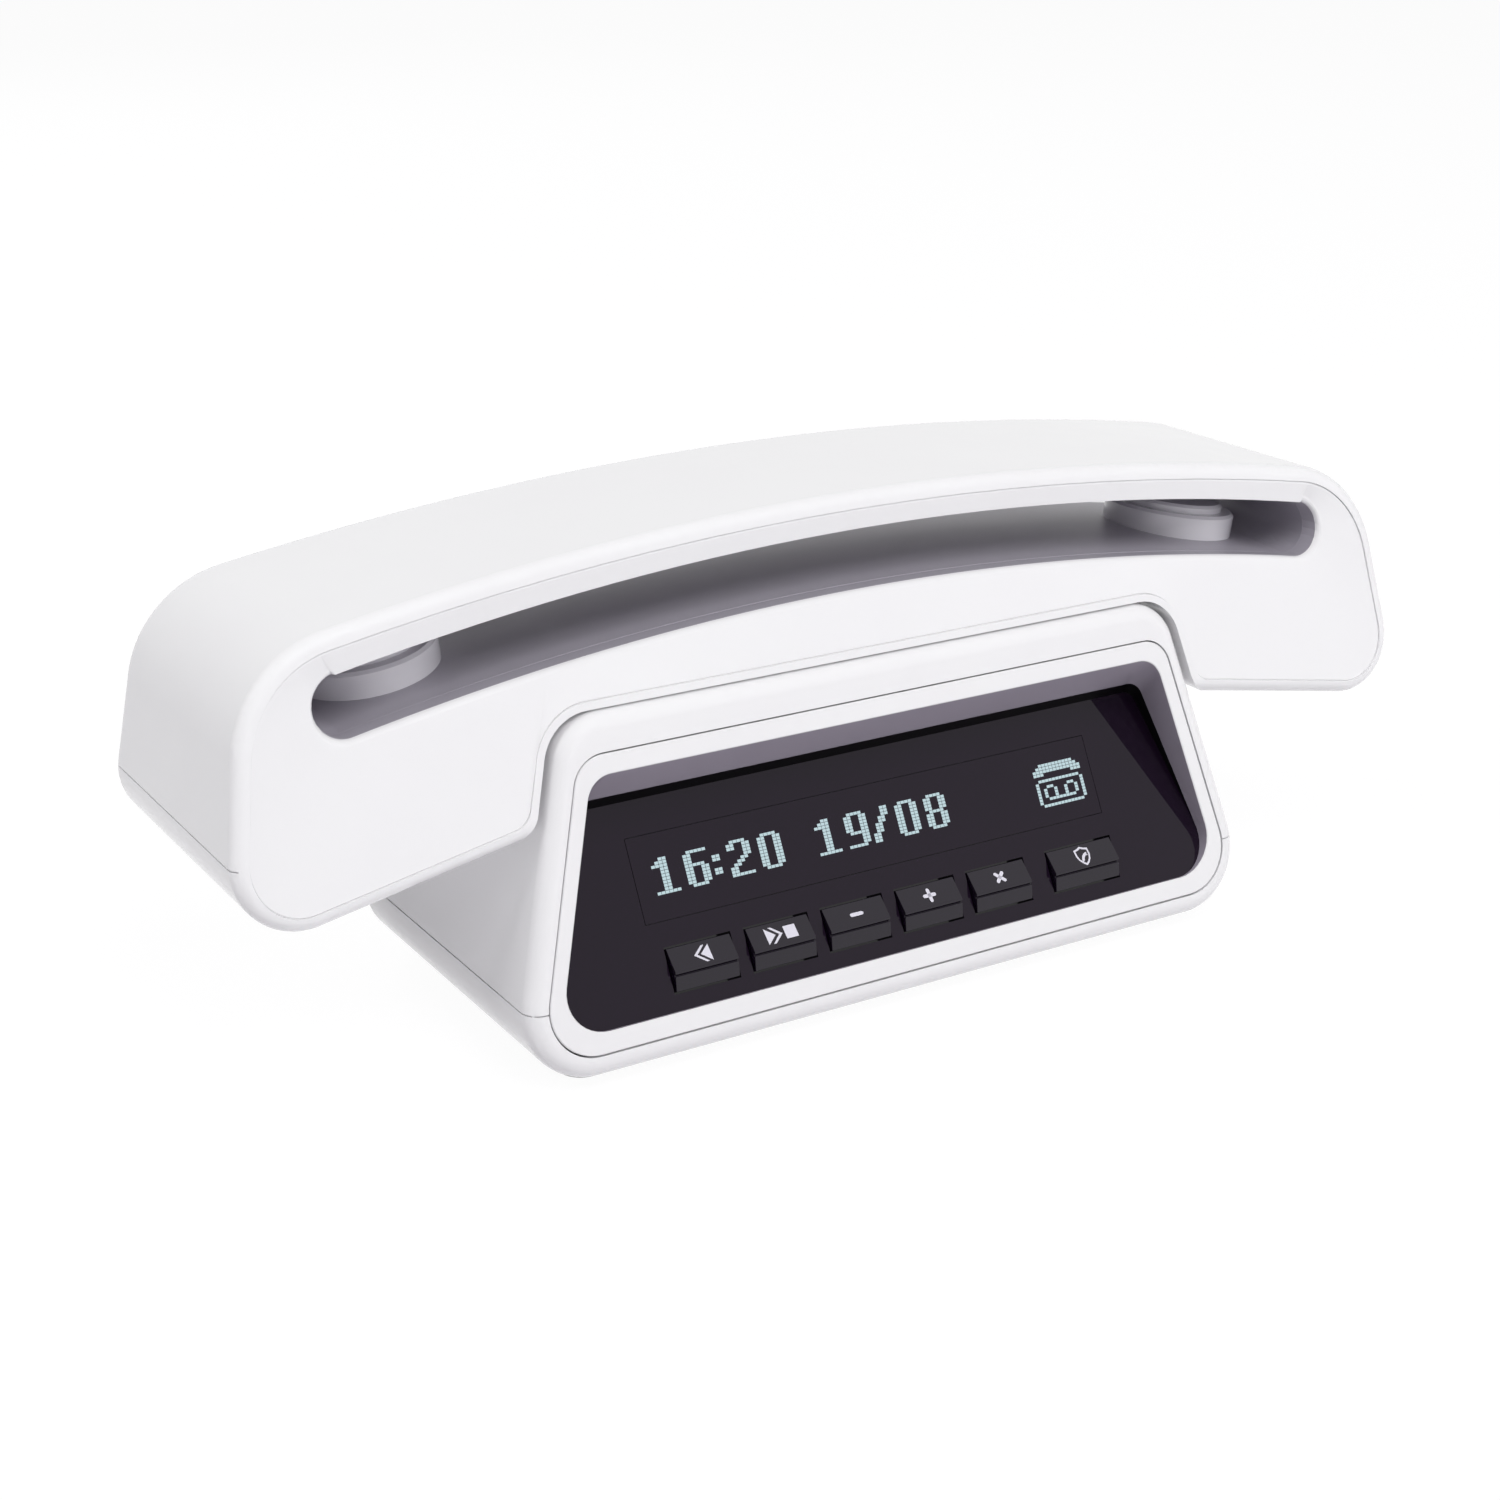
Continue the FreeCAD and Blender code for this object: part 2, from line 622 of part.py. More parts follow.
def upright_round_block(x0, x1, y0, y1, z0, z1, radius):
    """A box with its upright edges rounded."""
    solid = block(x0, x1, y0, y1, z0, z1)
    edges = [edge for edge in solid.Edges
             if abs(edge.tangentAt(edge.FirstParameter).z) > 0.999]
    return solid.makeFillet(radius, edges)


front_normal = Vector(0, -cos(s.front_lean), sin(s.front_lean))
back_normal = Vector(0, cos(s.back_lean), sin(s.back_lean))


# ---------------------------------------------------------------------------
# The base's outer form
# ---------------------------------------------------------------------------

def base_side(height):
    """x of the base's side at a height."""
    return s.base_half_width - tan(s.side_lean) * (height - s.base_seam)


def base_outline(inset):
    """The base seen from the front, clockwise from its lower left corner."""
    low, high = s.base_floor, s.base_top
    points = [(-base_side(low), low), (-base_side(high), high),
              (base_side(high), high), (base_side(low), low)]
    return inset_outline(points, [inset] * len(points))


def base_form(inset):
    """The base's outline made solid, with its corners rounded."""
    points = base_outline(inset)
    solid = prism(points)
    solid = round_corners(solid, [points[0], points[3]], s.base_foot_radius - inset)
    return round_corners(solid, [points[1], points[2]], s.base_shoulder_radius - inset)


def base_slab(front_inset, back_inset):
    """The space between the base's front and back planes."""
    return leaning_slab(s.base_front + front_inset / cos(s.front_lean),
                        s.base_back - back_inset / cos(s.back_lean))


base_outer = base_form(0.0).common(base_slab(0.0, 0.0))
base_outer = base_outer.makeFillet(
    s.base_edge_radius, face_rims(base_outer, front_normal) + face_rims(base_outer, back_normal))
base_inner = base_form(s.shell_wall).common(base_slab(s.front_wall, s.shell_wall))
inner_top = s.base_top - s.well_depth - s.shell_wall
base_inner = base_inner.common(block(-far, far, -far, far, s.inner_floor, inner_top))

# ---------------------------------------------------------------------------
# The window in the base's front
# ---------------------------------------------------------------------------


def lean_frame(height, recess, lean):
    """A frame on a leaning plane: X right, Y up the plane, Z out to the front."""
    base_y = s.base_front + height * tan(s.front_lean)
    origin = Vector(0, base_y + recess * cos(s.front_lean),
                    height - recess * sin(s.front_lean))
    return FreeCAD.Placement(origin, FreeCAD.Rotation(Vector(1, 0, 0), 90.0 - lean))


def trapezoid(half_low, half_high, low, high, radii, grow, frame):
    """A closed wire: a trapezoid with rounded corners, in a leaning frame."""
    slope = (half_low - half_high) / (high - low)
    bulge = math.hypot(1.0, slope) * grow
    low_half = half_low + bulge + slope * grow
    high_half = half_high + bulge - slope * grow
    points = [Vector(-low_half, low - grow, 0), Vector(-high_half, high + grow, 0),
              Vector(high_half, high + grow, 0), Vector(low_half, low - grow, 0)]
    corners = []
    for index in range(4):
        here = points[index]
        before = (points[index - 1] - here).normalize()
        after = (points[(index + 1) % 4] - here).normalize()
        angle = before.getAngle(after)
        radius = radii[index] + grow
        reach = radius / math.tan(angle / 2)
        bisector = (before + after).normalize()
        middle = here + bisector * (radius / math.sin(angle / 2) - radius)
        corners.append((here + before * reach, middle, here + after * reach))
    edges = []
    for index in range(4):
        edges.append(Part.Arc(*corners[index]).toShape())
        edges.append(Part.LineSegment(corners[index][2], corners[(index + 1) % 4][0]).toShape())
    wire = Part.Wire(edges)
    wire.Placement = frame
    return wire


def front_prism(wire, out, inwards):
    """Extrude a wire in the front plane from 'out' before it to 'inwards' behind."""
    start = wire.copy()
    start.translate(front_normal * out)
    return Part.Face(start).extrude(front_normal * (-out - inwards))


front_frame = lean_frame(s.window_bottom, 0.0, s.front_lean)
panel_frame = lean_frame(s.window_bottom, s.panel_recess, s.panel_lean)
tray_frame = lean_frame(s.window_bottom, s.tray_recess, s.tray_lean)


def up_front(height):
    """Distance up the front plane from the window's lower edge."""
    return (height - s.window_bottom) / cos(s.front_lean)


def bezel_half(height):
    """Half the bezel's width at a height."""
    return base_side(height) - s.bezel_border


def bezel_wire(grow):
    radii = [s.bezel_foot_radius, s.bezel_head_radius, s.bezel_head_radius, s.bezel_foot_radius]
    return trapezoid(bezel_half(s.bezel_bottom), bezel_half(s.bezel_top),
                     up_front(s.bezel_bottom), up_front(s.bezel_top), radii, grow, front_frame)


def window_wire(grow, frame):
    radii = [s.window_foot_radius, s.window_head_radius, s.window_head_radius, s.window_foot_radius]
    return trapezoid(s.window_half_bottom, s.window_half_top, 0.0, up_front(s.window_top),
                     radii, grow, frame)


def panel_wire(grow, frame):
    radii = [s.panel_foot_radius, s.panel_head_radius, s.panel_head_radius, s.panel_foot_radius]
    return trapezoid(s.panel_half_bottom, s.panel_half_top, 0.0, s.panel_height,
                     radii, grow, frame)


def behind(frame):
    """All the space behind a leaning plane."""
    solid = block(-far / 2, far / 2, -far / 2, far / 2, -far / 2, 0.0)
    solid.Placement = frame
    return solid


def in_panel(solid):
    """Move a solid made in the panel's own frame to its place."""
    solid.Placement = panel_frame
    return solid


funnel = Part.makeLoft([window_wire(0.0, front_frame), panel_wire(0.0, panel_frame)], True, True)
hood = Part.makeLoft([window_wire(s.hood_wall, front_frame),
                      panel_wire(s.hood_wall, panel_frame)], True, True)

bezel_plate = front_prism(bezel_wire(0.0), 0.0, s.front_wall)
bezel_groove = front_prism(bezel_wire(0.0), s.spare, s.seam_groove).cut(
    front_prism(bezel_wire(-s.seam_gap), 2 * s.spare, s.seam_groove + s.spare))
window_hole = front_prism(window_wire(0.0, front_frame), s.spare, s.front_wall + s.spare)
behind_tray = behind(tray_frame)
bezel = bezel_plate.cut(bezel_groove).cut(window_hole)
bezel = bezel.fuse(hood.cut(funnel).cut(behind_tray)).removeSplitter()
keep_shape("front_bezel", bezel)

panel_plate = Part.Face(panel_wire(s.hood_wall, panel_frame)).extrude(
    panel_frame.Rotation.multVec(Vector(0, 0, -s.panel_thickness)))
tray = hood.common(behind_tray).cut(funnel).fuse(panel_plate).cut(bezel)

key_places = [s.key_first + index * s.key_pitch for index in range(5)] + [s.call_key_at]
key_holes = [s.key_hole_width] * 5 + [s.key_hole_wide]
for middle, width in zip(key_places, key_holes):
    hole = block(middle - width / 2, middle + width / 2, s.key_low, s.key_high,
                 -s.panel_thickness - s.spare, s.spare)
    tray = tray.cut(in_panel(hole))
glass_hole = block(s.glass_left - s.glass_play, s.glass_right + s.glass_play,
                   s.glass_low - s.glass_play, s.glass_high + s.glass_play,
                   -s.glass_thickness, s.spare)
sight_hole = block(s.glass_left + s.module_rim, s.glass_right - s.module_rim,
                   s.glass_low + s.module_rim, s.glass_high - s.module_rim,
                   -s.panel_thickness - s.spare, s.spare)
tray = tray.cut(in_panel(glass_hole)).cut(in_panel(sight_hole))
post_x = [s.key_first - s.key_hole_width + s.mat_post_radius,
          s.call_key_at + s.key_hole_wide - s.mat_post_radius]
for x in post_x:
    post = cylinder_z(s.mat_post_radius, x, (s.key_low + s.key_high) / 2,
                      -s.mat_top, -s.panel_thickness / 2)
    tray = tray.fuse(in_panel(post))
tray = tray.removeSplitter()
keep_shape("display_tray", tray)

# ---------------------------------------------------------------------------
# The base's shells
# ---------------------------------------------------------------------------

front_opening = front_prism(bezel_wire(0.0), s.spare, s.front_wall + s.spare)
base_shell = base_outer.cut(base_inner).cut(front_opening)

seam_low = s.base_seam - s.seam_gap / 2
seam_high = s.base_seam + s.seam_gap / 2
seam_core = base_form(s.seam_groove).common(base_slab(s.seam_groove, s.seam_groove))
seam_ring = block(-far / 2, far / 2, -far / 2, far / 2, seam_low, seam_high).cut(seam_core)
base_shell = base_shell.cut(seam_ring)
upper_space = block(-far, far, -far, far, s.base_seam, far)
lower_space = block(-far, far, -far, far, -far, s.base_seam)

well = upright_round_block(-s.well_half_length, s.well_half_length, s.well_front, s.well_back,
                           s.base_top - s.well_depth, s.base_top + s.spare, s.well_radius)
contact_rows = [s.contact_front, s.contact_back]
upper_shell = base_shell.common(upper_space).cut(well)
for row in contact_rows:
    slot = block(s.contact_x - s.contact_length / 2 - s.contact_play,
                 s.contact_x + s.contact_length / 2 + s.contact_play,
                 row - s.contact_width / 2 - s.contact_play,
                 row + s.contact_width / 2 + s.contact_play,
                 inner_top - s.spare, s.base_top + s.spare)
    upper_shell = upper_shell.cut(slot)

jack_floor = s.main_board_height + s.board_thickness
line_hole = block(s.line_jack_x - s.line_jack_width / 2 - s.jack_play,
                  s.line_jack_x + s.line_jack_width / 2 + s.jack_play,
                  s.main_board_back - s.spare, s.base_back + s.spare,
                  jack_floor - s.jack_play, jack_floor + s.line_jack_height + s.jack_play)
power_hole = block(s.power_jack_x - s.power_jack_width / 2 - s.jack_play,
                   s.power_jack_x + s.power_jack_width / 2 + s.jack_play,
                   s.main_board_back - s.spare, s.base_back + s.spare,
                   jack_floor - s.jack_play, jack_floor + s.power_jack_height + s.jack_play)
upper_shell = upper_shell.cut(line_hole).cut(power_hole)
keep_shape("base_upper_shell", upper_shell)

base_screw_spots = [(x, y) for x in (-s.screw_half_span, s.screw_half_span)
                    for y in (s.screw_front, s.screw_back)]
screw_seat = s.plate_bottom + s.screw_head_height + s.screw_play
screw_tip = screw_seat + s.screw_length
recess = upright_round_block(-s.plate_half_width - s.plate_play, s.plate_half_width + s.plate_play,
                             s.plate_front - s.plate_play, s.plate_back + s.plate_play,
                             -s.spare, s.plate_top, s.plate_radius + s.plate_play)
lower_shell = base_shell.common(lower_space).cut(recess)
for x, y in base_screw_spots:
    post_top = s.main_board_height if y > s.main_board_front else screw_tip + s.screw_head_height
    post = cylinder_z(s.boss_radius, x, y, s.plate_top, post_top)
    lower_shell = lower_shell.fuse(post)
for x, y in base_screw_spots:
    pilot = cylinder_z(s.screw_radius + s.pilot_play, x, y, s.plate_top - s.spare,
                       screw_tip + s.screw_play)
    lower_shell = lower_shell.cut(pilot)
for x in (-s.screw_half_span, s.screw_half_span):
    rest = cylinder_z(s.boss_radius, x, s.main_board_front + s.boss_radius,
                      s.plate_top + s.floor_wall / 2, s.main_board_height)
    lower_shell = lower_shell.fuse(rest)
speaker_ring = cylinder_z(s.speaker_radius + s.shell_wall, 0.0, s.speaker_y,
                          s.inner_floor - s.floor_wall / 2, s.inner_floor + s.speaker_height / 2)
speaker_ring = speaker_ring.cut(cylinder_z(s.speaker_radius + s.screw_play, 0.0, s.speaker_y,
                                           s.inner_floor - s.floor_wall, far))
speaker_mouth = cylinder_z(s.speaker_radius - s.shell_wall, 0.0, s.speaker_y, -s.spare,
                           s.inner_floor + s.spare)
lower_shell = lower_shell.fuse(speaker_ring).cut(speaker_mouth).removeSplitter()
keep_shape("base_lower_shell", lower_shell)

# ---------------------------------------------------------------------------
# The bottom plate, its feet and its screws
# ---------------------------------------------------------------------------

plate = new_body("bottom_plate")
outline = rectangle(plate, "plate_outline", "XY_Plane", "-plate_half_width", "plate_front",
                    "plate_half_width", "plate_back", "plate_bottom")
slab = pad(plate, outline, "plate_thickness")
slab = round_edges(plate, slab, "plate_radius", along(Vector(0, 0, 1)), "plate_corners")
foot_spots = [("-foot_half_span", "foot_front"), ("foot_half_span", "foot_front"),
              ("-foot_half_span", "foot_back"), ("foot_half_span", "foot_back")]
seats = circles(plate, "foot_seats", "XY_Plane", foot_spots, "foot_radius + screw_play",
                "plate_bottom")
pocket(plate, seats, "foot_seat", True)
screw_spots = [("-screw_half_span", "screw_front"), ("screw_half_span", "screw_front"),
               ("-screw_half_span", "screw_back"), ("screw_half_span", "screw_back")]
sinks = circles(plate, "screw_sinks", "XY_Plane", screw_spots, "screw_head_radius + screw_play",
                "plate_bottom")
pocket(plate, sinks, "screw_head_height + screw_play", True)
bores = circles(plate, "screw_bores", "XY_Plane", screw_spots, "screw_radius + screw_play",
                "plate_bottom")
pocket(plate, bores, "plate_thickness + spare", True)
pairs_of_slits = 3
first_slit = "speaker_y - grille_pitch * %d" % pairs_of_slits
slit = rectangle(plate, "sound_slit", "XY_Plane",
                 "-grille_slot_length / 2", first_slit + " - grille_slot_width / 2",
                 "grille_slot_length / 2", first_slit + " + grille_slot_width / 2",
                 "plate_bottom")
slit_cut = pocket(plate, slit, "plate_thickness + spare", True)
grille = plate.newObject("PartDesign::LinearPattern", "grille")
grille.Originals = [slit_cut]
grille.Direction = (slit, ["V_Axis"])
grille.Occurrences = 2 * pairs_of_slits + 1
grille.setExpression("Length", bound("grille_pitch * %d" % (2 * pairs_of_slits)))
plate.Tip = grille
doc.recompute()

foot = new_body("foot_form", keep=False)
foot_profile = polygon(foot, "foot_profile", "XZ_Plane",
                       [("0", "0"), ("foot_radius - foot_chamfer", "0"),
                        ("foot_radius", "foot_chamfer"),
                        ("foot_radius", "foot_height"), ("0", "foot_height")])
revolve(foot, foot_profile)


def gather(label, form, spots, height=0.0):
    """Copy a form to several spots, as separate solids of one node."""
    copies = []
    for x, y in spots:
        copy = form.Shape.copy()
        copy.translate(Vector(x, y, height))
        copies.append(copy)
    return keep_shape(label, Part.makeCompound(copies))


gather("base_feet", foot, [(number(x), number(y)) for x, y in foot_spots])

screw = new_body("base_screw_form", keep=False)
screw_profile = polygon(screw, "screw_profile", "XZ_Plane",
                        [("0", "0"), ("screw_head_radius", "0"),
                         ("screw_head_radius", "screw_head_height"),
                         ("screw_radius", "screw_head_height"),
                         ("screw_radius", "screw_head_height + screw_length - screw_point"),
                         ("0", "screw_head_height + screw_length")])
revolve(screw, screw_profile)
gather("base_screws", screw, base_screw_spots, s.plate_bottom + s.screw_play)

# ---------------------------------------------------------------------------
# What the base holds
# ---------------------------------------------------------------------------

panel_turn = "90 - panel_lean"

glass = new_body("display_glass")
glass_face = rectangle(glass, "glass_face", "XY_Plane", "glass_left", "glass_low",
                       "glass_right", "glass_high")
pad(glass, glass_face, "glass_thickness", True)
place(glass, "0", "panel_y", "panel_z", panel_turn)

module = new_body("display_module")
module_face = rectangle(module, "module_face", "XY_Plane", "glass_left - module_rim",
                        "glass_low - module_rim", "glass_right + module_rim",
                        "glass_high + module_rim", "-panel_thickness")
pad(module, module_face, "module_thickness", True)
picture = rectangle(module, "picture_face", "XY_Plane", "glass_left + module_rim + glass_play",
                    "glass_low + module_rim + glass_play", "glass_right - module_rim - glass_play",
                    "glass_high - module_rim - glass_play", "-panel_thickness")
pad(module, picture, "panel_thickness - glass_thickness - glass_play")
place(module, "0", "panel_y", "panel_z", panel_turn)

key_labels = ["key_rewind", "key_play_stop", "key_volume_down", "key_volume_up",
              "key_delete", "key_call_screen"]


def base_key(label, middle, hole_width):
    """A wedge-shaped key with a ridge, and the flange that keeps it in."""
    key = new_body(label)
    half = "(%s) / 2 - key_play" % hole_width
    section = polygon(key, label + "_section", "YZ_Plane",
                      [("key_low + key_play", "-panel_thickness - key_flange"),
                       ("key_high - key_play", "-panel_thickness - key_flange"),
                       ("key_high - key_play", "key_head_height"),
                       ("key_ridge_at", "key_ridge_height"),
                       ("key_low + key_play", "key_toe_height")], "-(%s)" % half)
    cap = pad(key, section, "2 * (%s)" % half)
    flange = rectangle(key, label + "_flange", "XY_Plane", "-(%s) - key_flange" % half,
                       "key_low + key_play - key_flange", "(%s) + key_flange" % half,
                       "key_high - key_play + key_flange", "-panel_thickness")
    whole = pad(key, flange, "key_flange", True)

    def proud(edge):
        return edge.CenterOfMass.z > (s.key_head_height + s.key_toe_height) / 2

    round_edges(key, whole, "key_edge_radius", proud, label + "_edges")
    place(key, middle, "panel_y", "panel_z", panel_turn)
    return key


key_middles = ["key_first + key_pitch * %d" % index for index in range(5)] + ["call_key_at"]
hole_widths = ["key_hole_width"] * 5 + ["key_hole_wide"]
for key_label, key_middle, key_hole in zip(key_labels, key_middles, hole_widths):
    base_key(key_label, key_middle, key_hole)

mat = new_body("base_key_mat")
mat_face = rectangle(mat, "mat_face", "XY_Plane",
                     "key_first - key_hole_width", "key_low - mat_margin",
                     "call_key_at + key_hole_wide", "key_high + mat_margin", "-mat_top")
pad(mat, mat_face, "mat_thickness", True)
domes = circles(mat, "mat_domes", "XY_Plane",
                [(middle, "(key_low + key_high) / 2") for middle in key_middles],
                "dome_radius", "-mat_top")
pad(mat, domes, "dome_height")
place(mat, "0", "panel_y", "panel_z", panel_turn)

key_board = new_body("base_key_board")
key_board_face = rectangle(key_board, "key_board_face", "XY_Plane",
                           "key_first - key_hole_width", "key_low - mat_margin",
                           "call_key_at + key_hole_wide", "key_high + mat_margin",
                           "-mat_top - mat_thickness")
pad(key_board, key_board_face, "board_thickness", True)
place(key_board, "0", "panel_y", "panel_z", panel_turn)

main_board = new_body("base_main_board")
main_face = rectangle(main_board, "main_face", "XY_Plane", "-main_board_half",
                      "main_board_front", "main_board_half", "main_board_back",
                      "main_board_height")
pad(main_board, main_face, "board_thickness")

chip = rectangle(main_board, "processor", "XY_Plane", "-chip_length * 0.5",
                 "main_board_front + chip_set", "chip_length * 0.5",
                 "main_board_front + chip_set + chip_width", "main_board_height + board_thickness")
pad(main_board, chip, "chip_height")

speaker = new_body("base_loudspeaker")
speaker_profile = polygon(speaker, "speaker_profile", "XZ_Plane",
                          [("0", "cone_depth"), ("dust_cap_radius", "cone_depth"),
                           ("cone_radius", "surround_depth"), ("cone_radius", "0"),
                           ("speaker_radius", "0"), ("speaker_radius", "speaker_rim"),
                           ("magnet_radius", "speaker_height / 2"),
                           ("magnet_radius", "speaker_height"), ("0", "speaker_height")])
revolve(speaker, speaker_profile)
place(speaker, "0", "speaker_y", "inner_floor")


def back_wall(height):
    """y of the base's back plane at a height."""
    return s.base_back - height * tan(s.back_lean)


jack_face_y = back_wall(jack_floor + s.line_jack_height)
jack_shift = jack_face_y - s.jack_play

line_jack = block(s.line_jack_x - s.line_jack_width / 2, s.line_jack_x + s.line_jack_width / 2,
                  jack_shift - s.line_jack_depth, jack_shift,
                  jack_floor, jack_floor + s.line_jack_height)
socket_low = jack_floor + (s.line_jack_height - s.line_socket_height - s.latch_height) / 2
line_socket = block(s.line_jack_x - s.line_socket_width / 2, s.line_jack_x + s.line_socket_width / 2,
                    jack_shift - s.line_socket_depth, jack_shift + s.spare,
                    socket_low + s.latch_height, socket_low + s.latch_height + s.line_socket_height)
latch_groove = block(s.line_jack_x - s.latch_width / 2, s.line_jack_x + s.latch_width / 2,
                     jack_shift - s.line_socket_depth, jack_shift + s.spare,
                     socket_low, socket_low + s.latch_height + s.spare)
keep_shape("line_jack", line_jack.cut(line_socket).cut(latch_groove).removeSplitter())

power_jack = block(s.power_jack_x - s.power_jack_width / 2, s.power_jack_x + s.power_jack_width / 2,
                   jack_shift - s.power_jack_depth, jack_shift,
                   jack_floor, jack_floor + s.power_jack_height)
power_axis = jack_floor + s.power_jack_height / 2
socket_end = jack_shift - s.power_socket_depth
power_socket = Part.makeCylinder(s.power_socket_radius, s.power_socket_depth + s.spare,
                                 Vector(s.power_jack_x, socket_end, power_axis), Vector(0, 1, 0))
power_pin = Part.makeCylinder(s.power_pin_radius, s.power_socket_depth + s.spare - s.power_pin_set,
                              Vector(s.power_jack_x, socket_end - s.spare, power_axis),
                              Vector(0, 1, 0))
keep_shape("power_jack", power_jack.cut(power_socket).fuse(power_pin))

nose_radius = s.contact_length / 2
arc_height = s.base_top - nose_radius
contacts = []
for row in contact_rows:
    front, back = row - s.contact_width / 2, row + s.contact_width / 2
    axle = Vector(s.contact_x, front, arc_height)
    nose = Part.makeCylinder(nose_radius, s.contact_width, axle, Vector(0, 1, 0))
    hollow = Part.makeCylinder(nose_radius - s.contact_strip, s.contact_width, axle,
                               Vector(0, 1, 0))
    arch = nose.cut(hollow).common(block(-far, far, -far, far, arc_height, far))
    left, right = s.contact_x - nose_radius, s.contact_x + nose_radius
    foot_low = inner_top - s.contact_strip
    inner_leg = block(left, left + s.contact_strip, front, back, foot_low, arc_height)
    outer_leg = block(right - s.contact_strip, right, front, back, foot_low, arc_height)
    strip = block(left - s.contact_length, left + s.contact_strip, front, back,
                  foot_low, inner_top)
    contacts.append(arch.fuse(inner_leg).fuse(outer_leg).fuse(strip).removeSplitter())
keep_shape("base_charge_contacts", Part.makeCompound(contacts))

# ---------------------------------------------------------------------------
# The handset's outer form
# ---------------------------------------------------------------------------

def handset_side(height):
    """x of the handset's end at a height."""
    return s.handset_half - tan(s.end_lean) * (height - s.handset_seam)


def saddle_side(height):
    """x of a leg's inner side at a height."""
    return base_side(height) + s.cradle_side_gap


def leg_toe():
    """Where a leg's underside meets the handset's end."""
    rise, lean = tan(s.leg_slope), tan(s.end_lean)
    fall = s.leg_tip_z + rise * (s.leg_tip_x - s.handset_half)
    height = (fall - rise * lean * s.handset_seam) / (1.0 - rise * lean)
    return handset_side(height), height


def leg_heel():
    """Where a leg's underside meets its inner side."""
    rise, lean = tan(s.leg_slope), tan(s.side_lean)
    start = s.base_half_width + s.cradle_side_gap + lean * s.base_seam
    height = (s.leg_tip_z + rise * (s.leg_tip_x - start)) / (1.0 - rise * lean)
    return saddle_side(height), height


def handset_outline(inset, under):
    """The handset seen from the front, clockwise, with its crown left straight.

    'under' is the inset of the saddle and of the legs' inner sides, 'inset' that of the rest.
    """
    top = s.crown_height + s.crown_overshoot
    toe_x, toe_z = leg_toe()
    heel_x, heel_z = leg_heel()
    saddle_x = saddle_side(s.saddle_top)
    right = [(handset_side(top), top), (toe_x, toe_z), (heel_x, heel_z), (saddle_x, s.saddle_top)]
    left = [(-x, z) for x, z in reversed(right)]
    return inset_outline(left + right, [under] + [inset] * 5 + [under] * 2)


def handset_form(inset, under):
    """The handset's outline made solid under its arch, with its corners rounded."""
    points = handset_outline(inset, under)
    centre = Vector(0, 0, s.crown_height - s.arch_radius)
    arch = cylinder_y(s.arch_radius - inset, 0.0, centre.z)
    arch.rotate(centre, Vector(0, 1, 0), 180.0)
    solid = prism(points).common(arch)
    saddle = [points[0], points[7]]
    heel = [points[1], points[6]]
    toe = [points[2], points[5]]
    solid = round_corners(solid, saddle, s.saddle_corner_radius + under)
    solid = round_corners(solid, heel, s.heel_corner_radius - inset)
    solid = round_corners(solid, toe, s.toe_corner_radius - inset)
    heads = [(edge.CenterOfMass.x, edge.CenterOfMass.z) for edge in solid.Edges
             if along(Vector(0, 1, 0))(edge) and abs(edge.CenterOfMass.x) > saddle_side(0.0)
             and edge.CenterOfMass.z > s.saddle_top]
    return round_corners(solid, heads, s.head_corner_radius - inset)


def handset_slab(front_inset, back_inset):
    """The space between the handset's front and back planes."""
    return leaning_slab(s.handset_front + front_inset / cos(s.front_lean),
                        s.handset_back - back_inset / cos(s.back_lean))


handset_hull = handset_form(0.0, -s.rim_spread).common(handset_slab(0.0, 0.0))
handset_hull = handset_hull.makeFillet(
    s.rim_radius, face_rims(handset_hull, front_normal) + face_rims(handset_hull, back_normal))
handset_outer = handset_hull.common(handset_form(-snap, 0.0))
fascia_form = handset_form(s.handset_wall, s.fascia_lip)
fascia_back = s.fascia_set + s.fascia_thickness
inner_slab = handset_slab(fascia_back, fascia_back)
hollow = handset_form(s.handset_wall, s.handset_wall).common(inner_slab)
band = handset_outer.cut(hollow.fuse(fascia_form.cut(inner_slab)).removeSplitter())

# ---------------------------------------------------------------------------
# The grip slot, and the fascias dished down to it
# ---------------------------------------------------------------------------

arch_centre = s.slot_crown - s.slot_arch_radius
slot_stations = [saddle_side(s.saddle_top) + s.fan_pitch * step for step in (2, 1, 0, -1)]


def arch_point(angle, drop):
    """A point of the slot's arch: degrees from the crown, and the drop below its upper edge."""
    radius = s.slot_arch_radius - drop
    return Vector(radius * sin(angle), 0, arch_centre + radius * cos(angle))


def arch_edge(start, end, drop):
    """An arc along the arch between two angles."""
    middle = arch_point((start + end) / 2, drop)
    return Part.Arc(arch_point(start, drop), middle, arch_point(end, drop)).toShape()


def slot_wire(high, low, half):
    """The slot's outline between two drops, in sixteen edges like the handset's outline."""
    radius = (low - high) / 2
    middle_drop = (low + high) / 2
    reach = s.slot_arch_radius - middle_drop
    end_angle = math.degrees(math.asin((half - radius) / reach))
    centre = arch_point(end_angle, middle_drop)
    round_end = []
    for step in range(7):
        bearing = end_angle + 30.0 * step
        round_end.append(centre + Vector(radius * sin(bearing), 0, radius * cos(bearing)))
    right = [Part.Arc(*round_end[index:index + 3]).toShape() for index in (0, 2, 4)]
    stations = [end_angle]
    stations += [math.degrees(math.asin(x / s.slot_arch_radius)) for x in slot_stations]
    for start, end in zip(stations, stations[1:]):
        right.append(arch_edge(start, end, low))
    left = [edge.mirror(Vector(0, 0, 0), Vector(1, 0, 0)) for edge in right]
    edges = [arch_edge(-end_angle, end_angle, high)] + right
    edges.append(arch_edge(stations[-1], -stations[-1], low))
    return Part.Wire(edges + left[::-1])


def slot_prism(high, low, half):
    """The slot's outline made solid along Y."""
    wire = slot_wire(high, low, half)
    wire.translate(Vector(0, -far / 2, 0))
    return Part.Face(wire).extrude(Vector(0, far, 0))


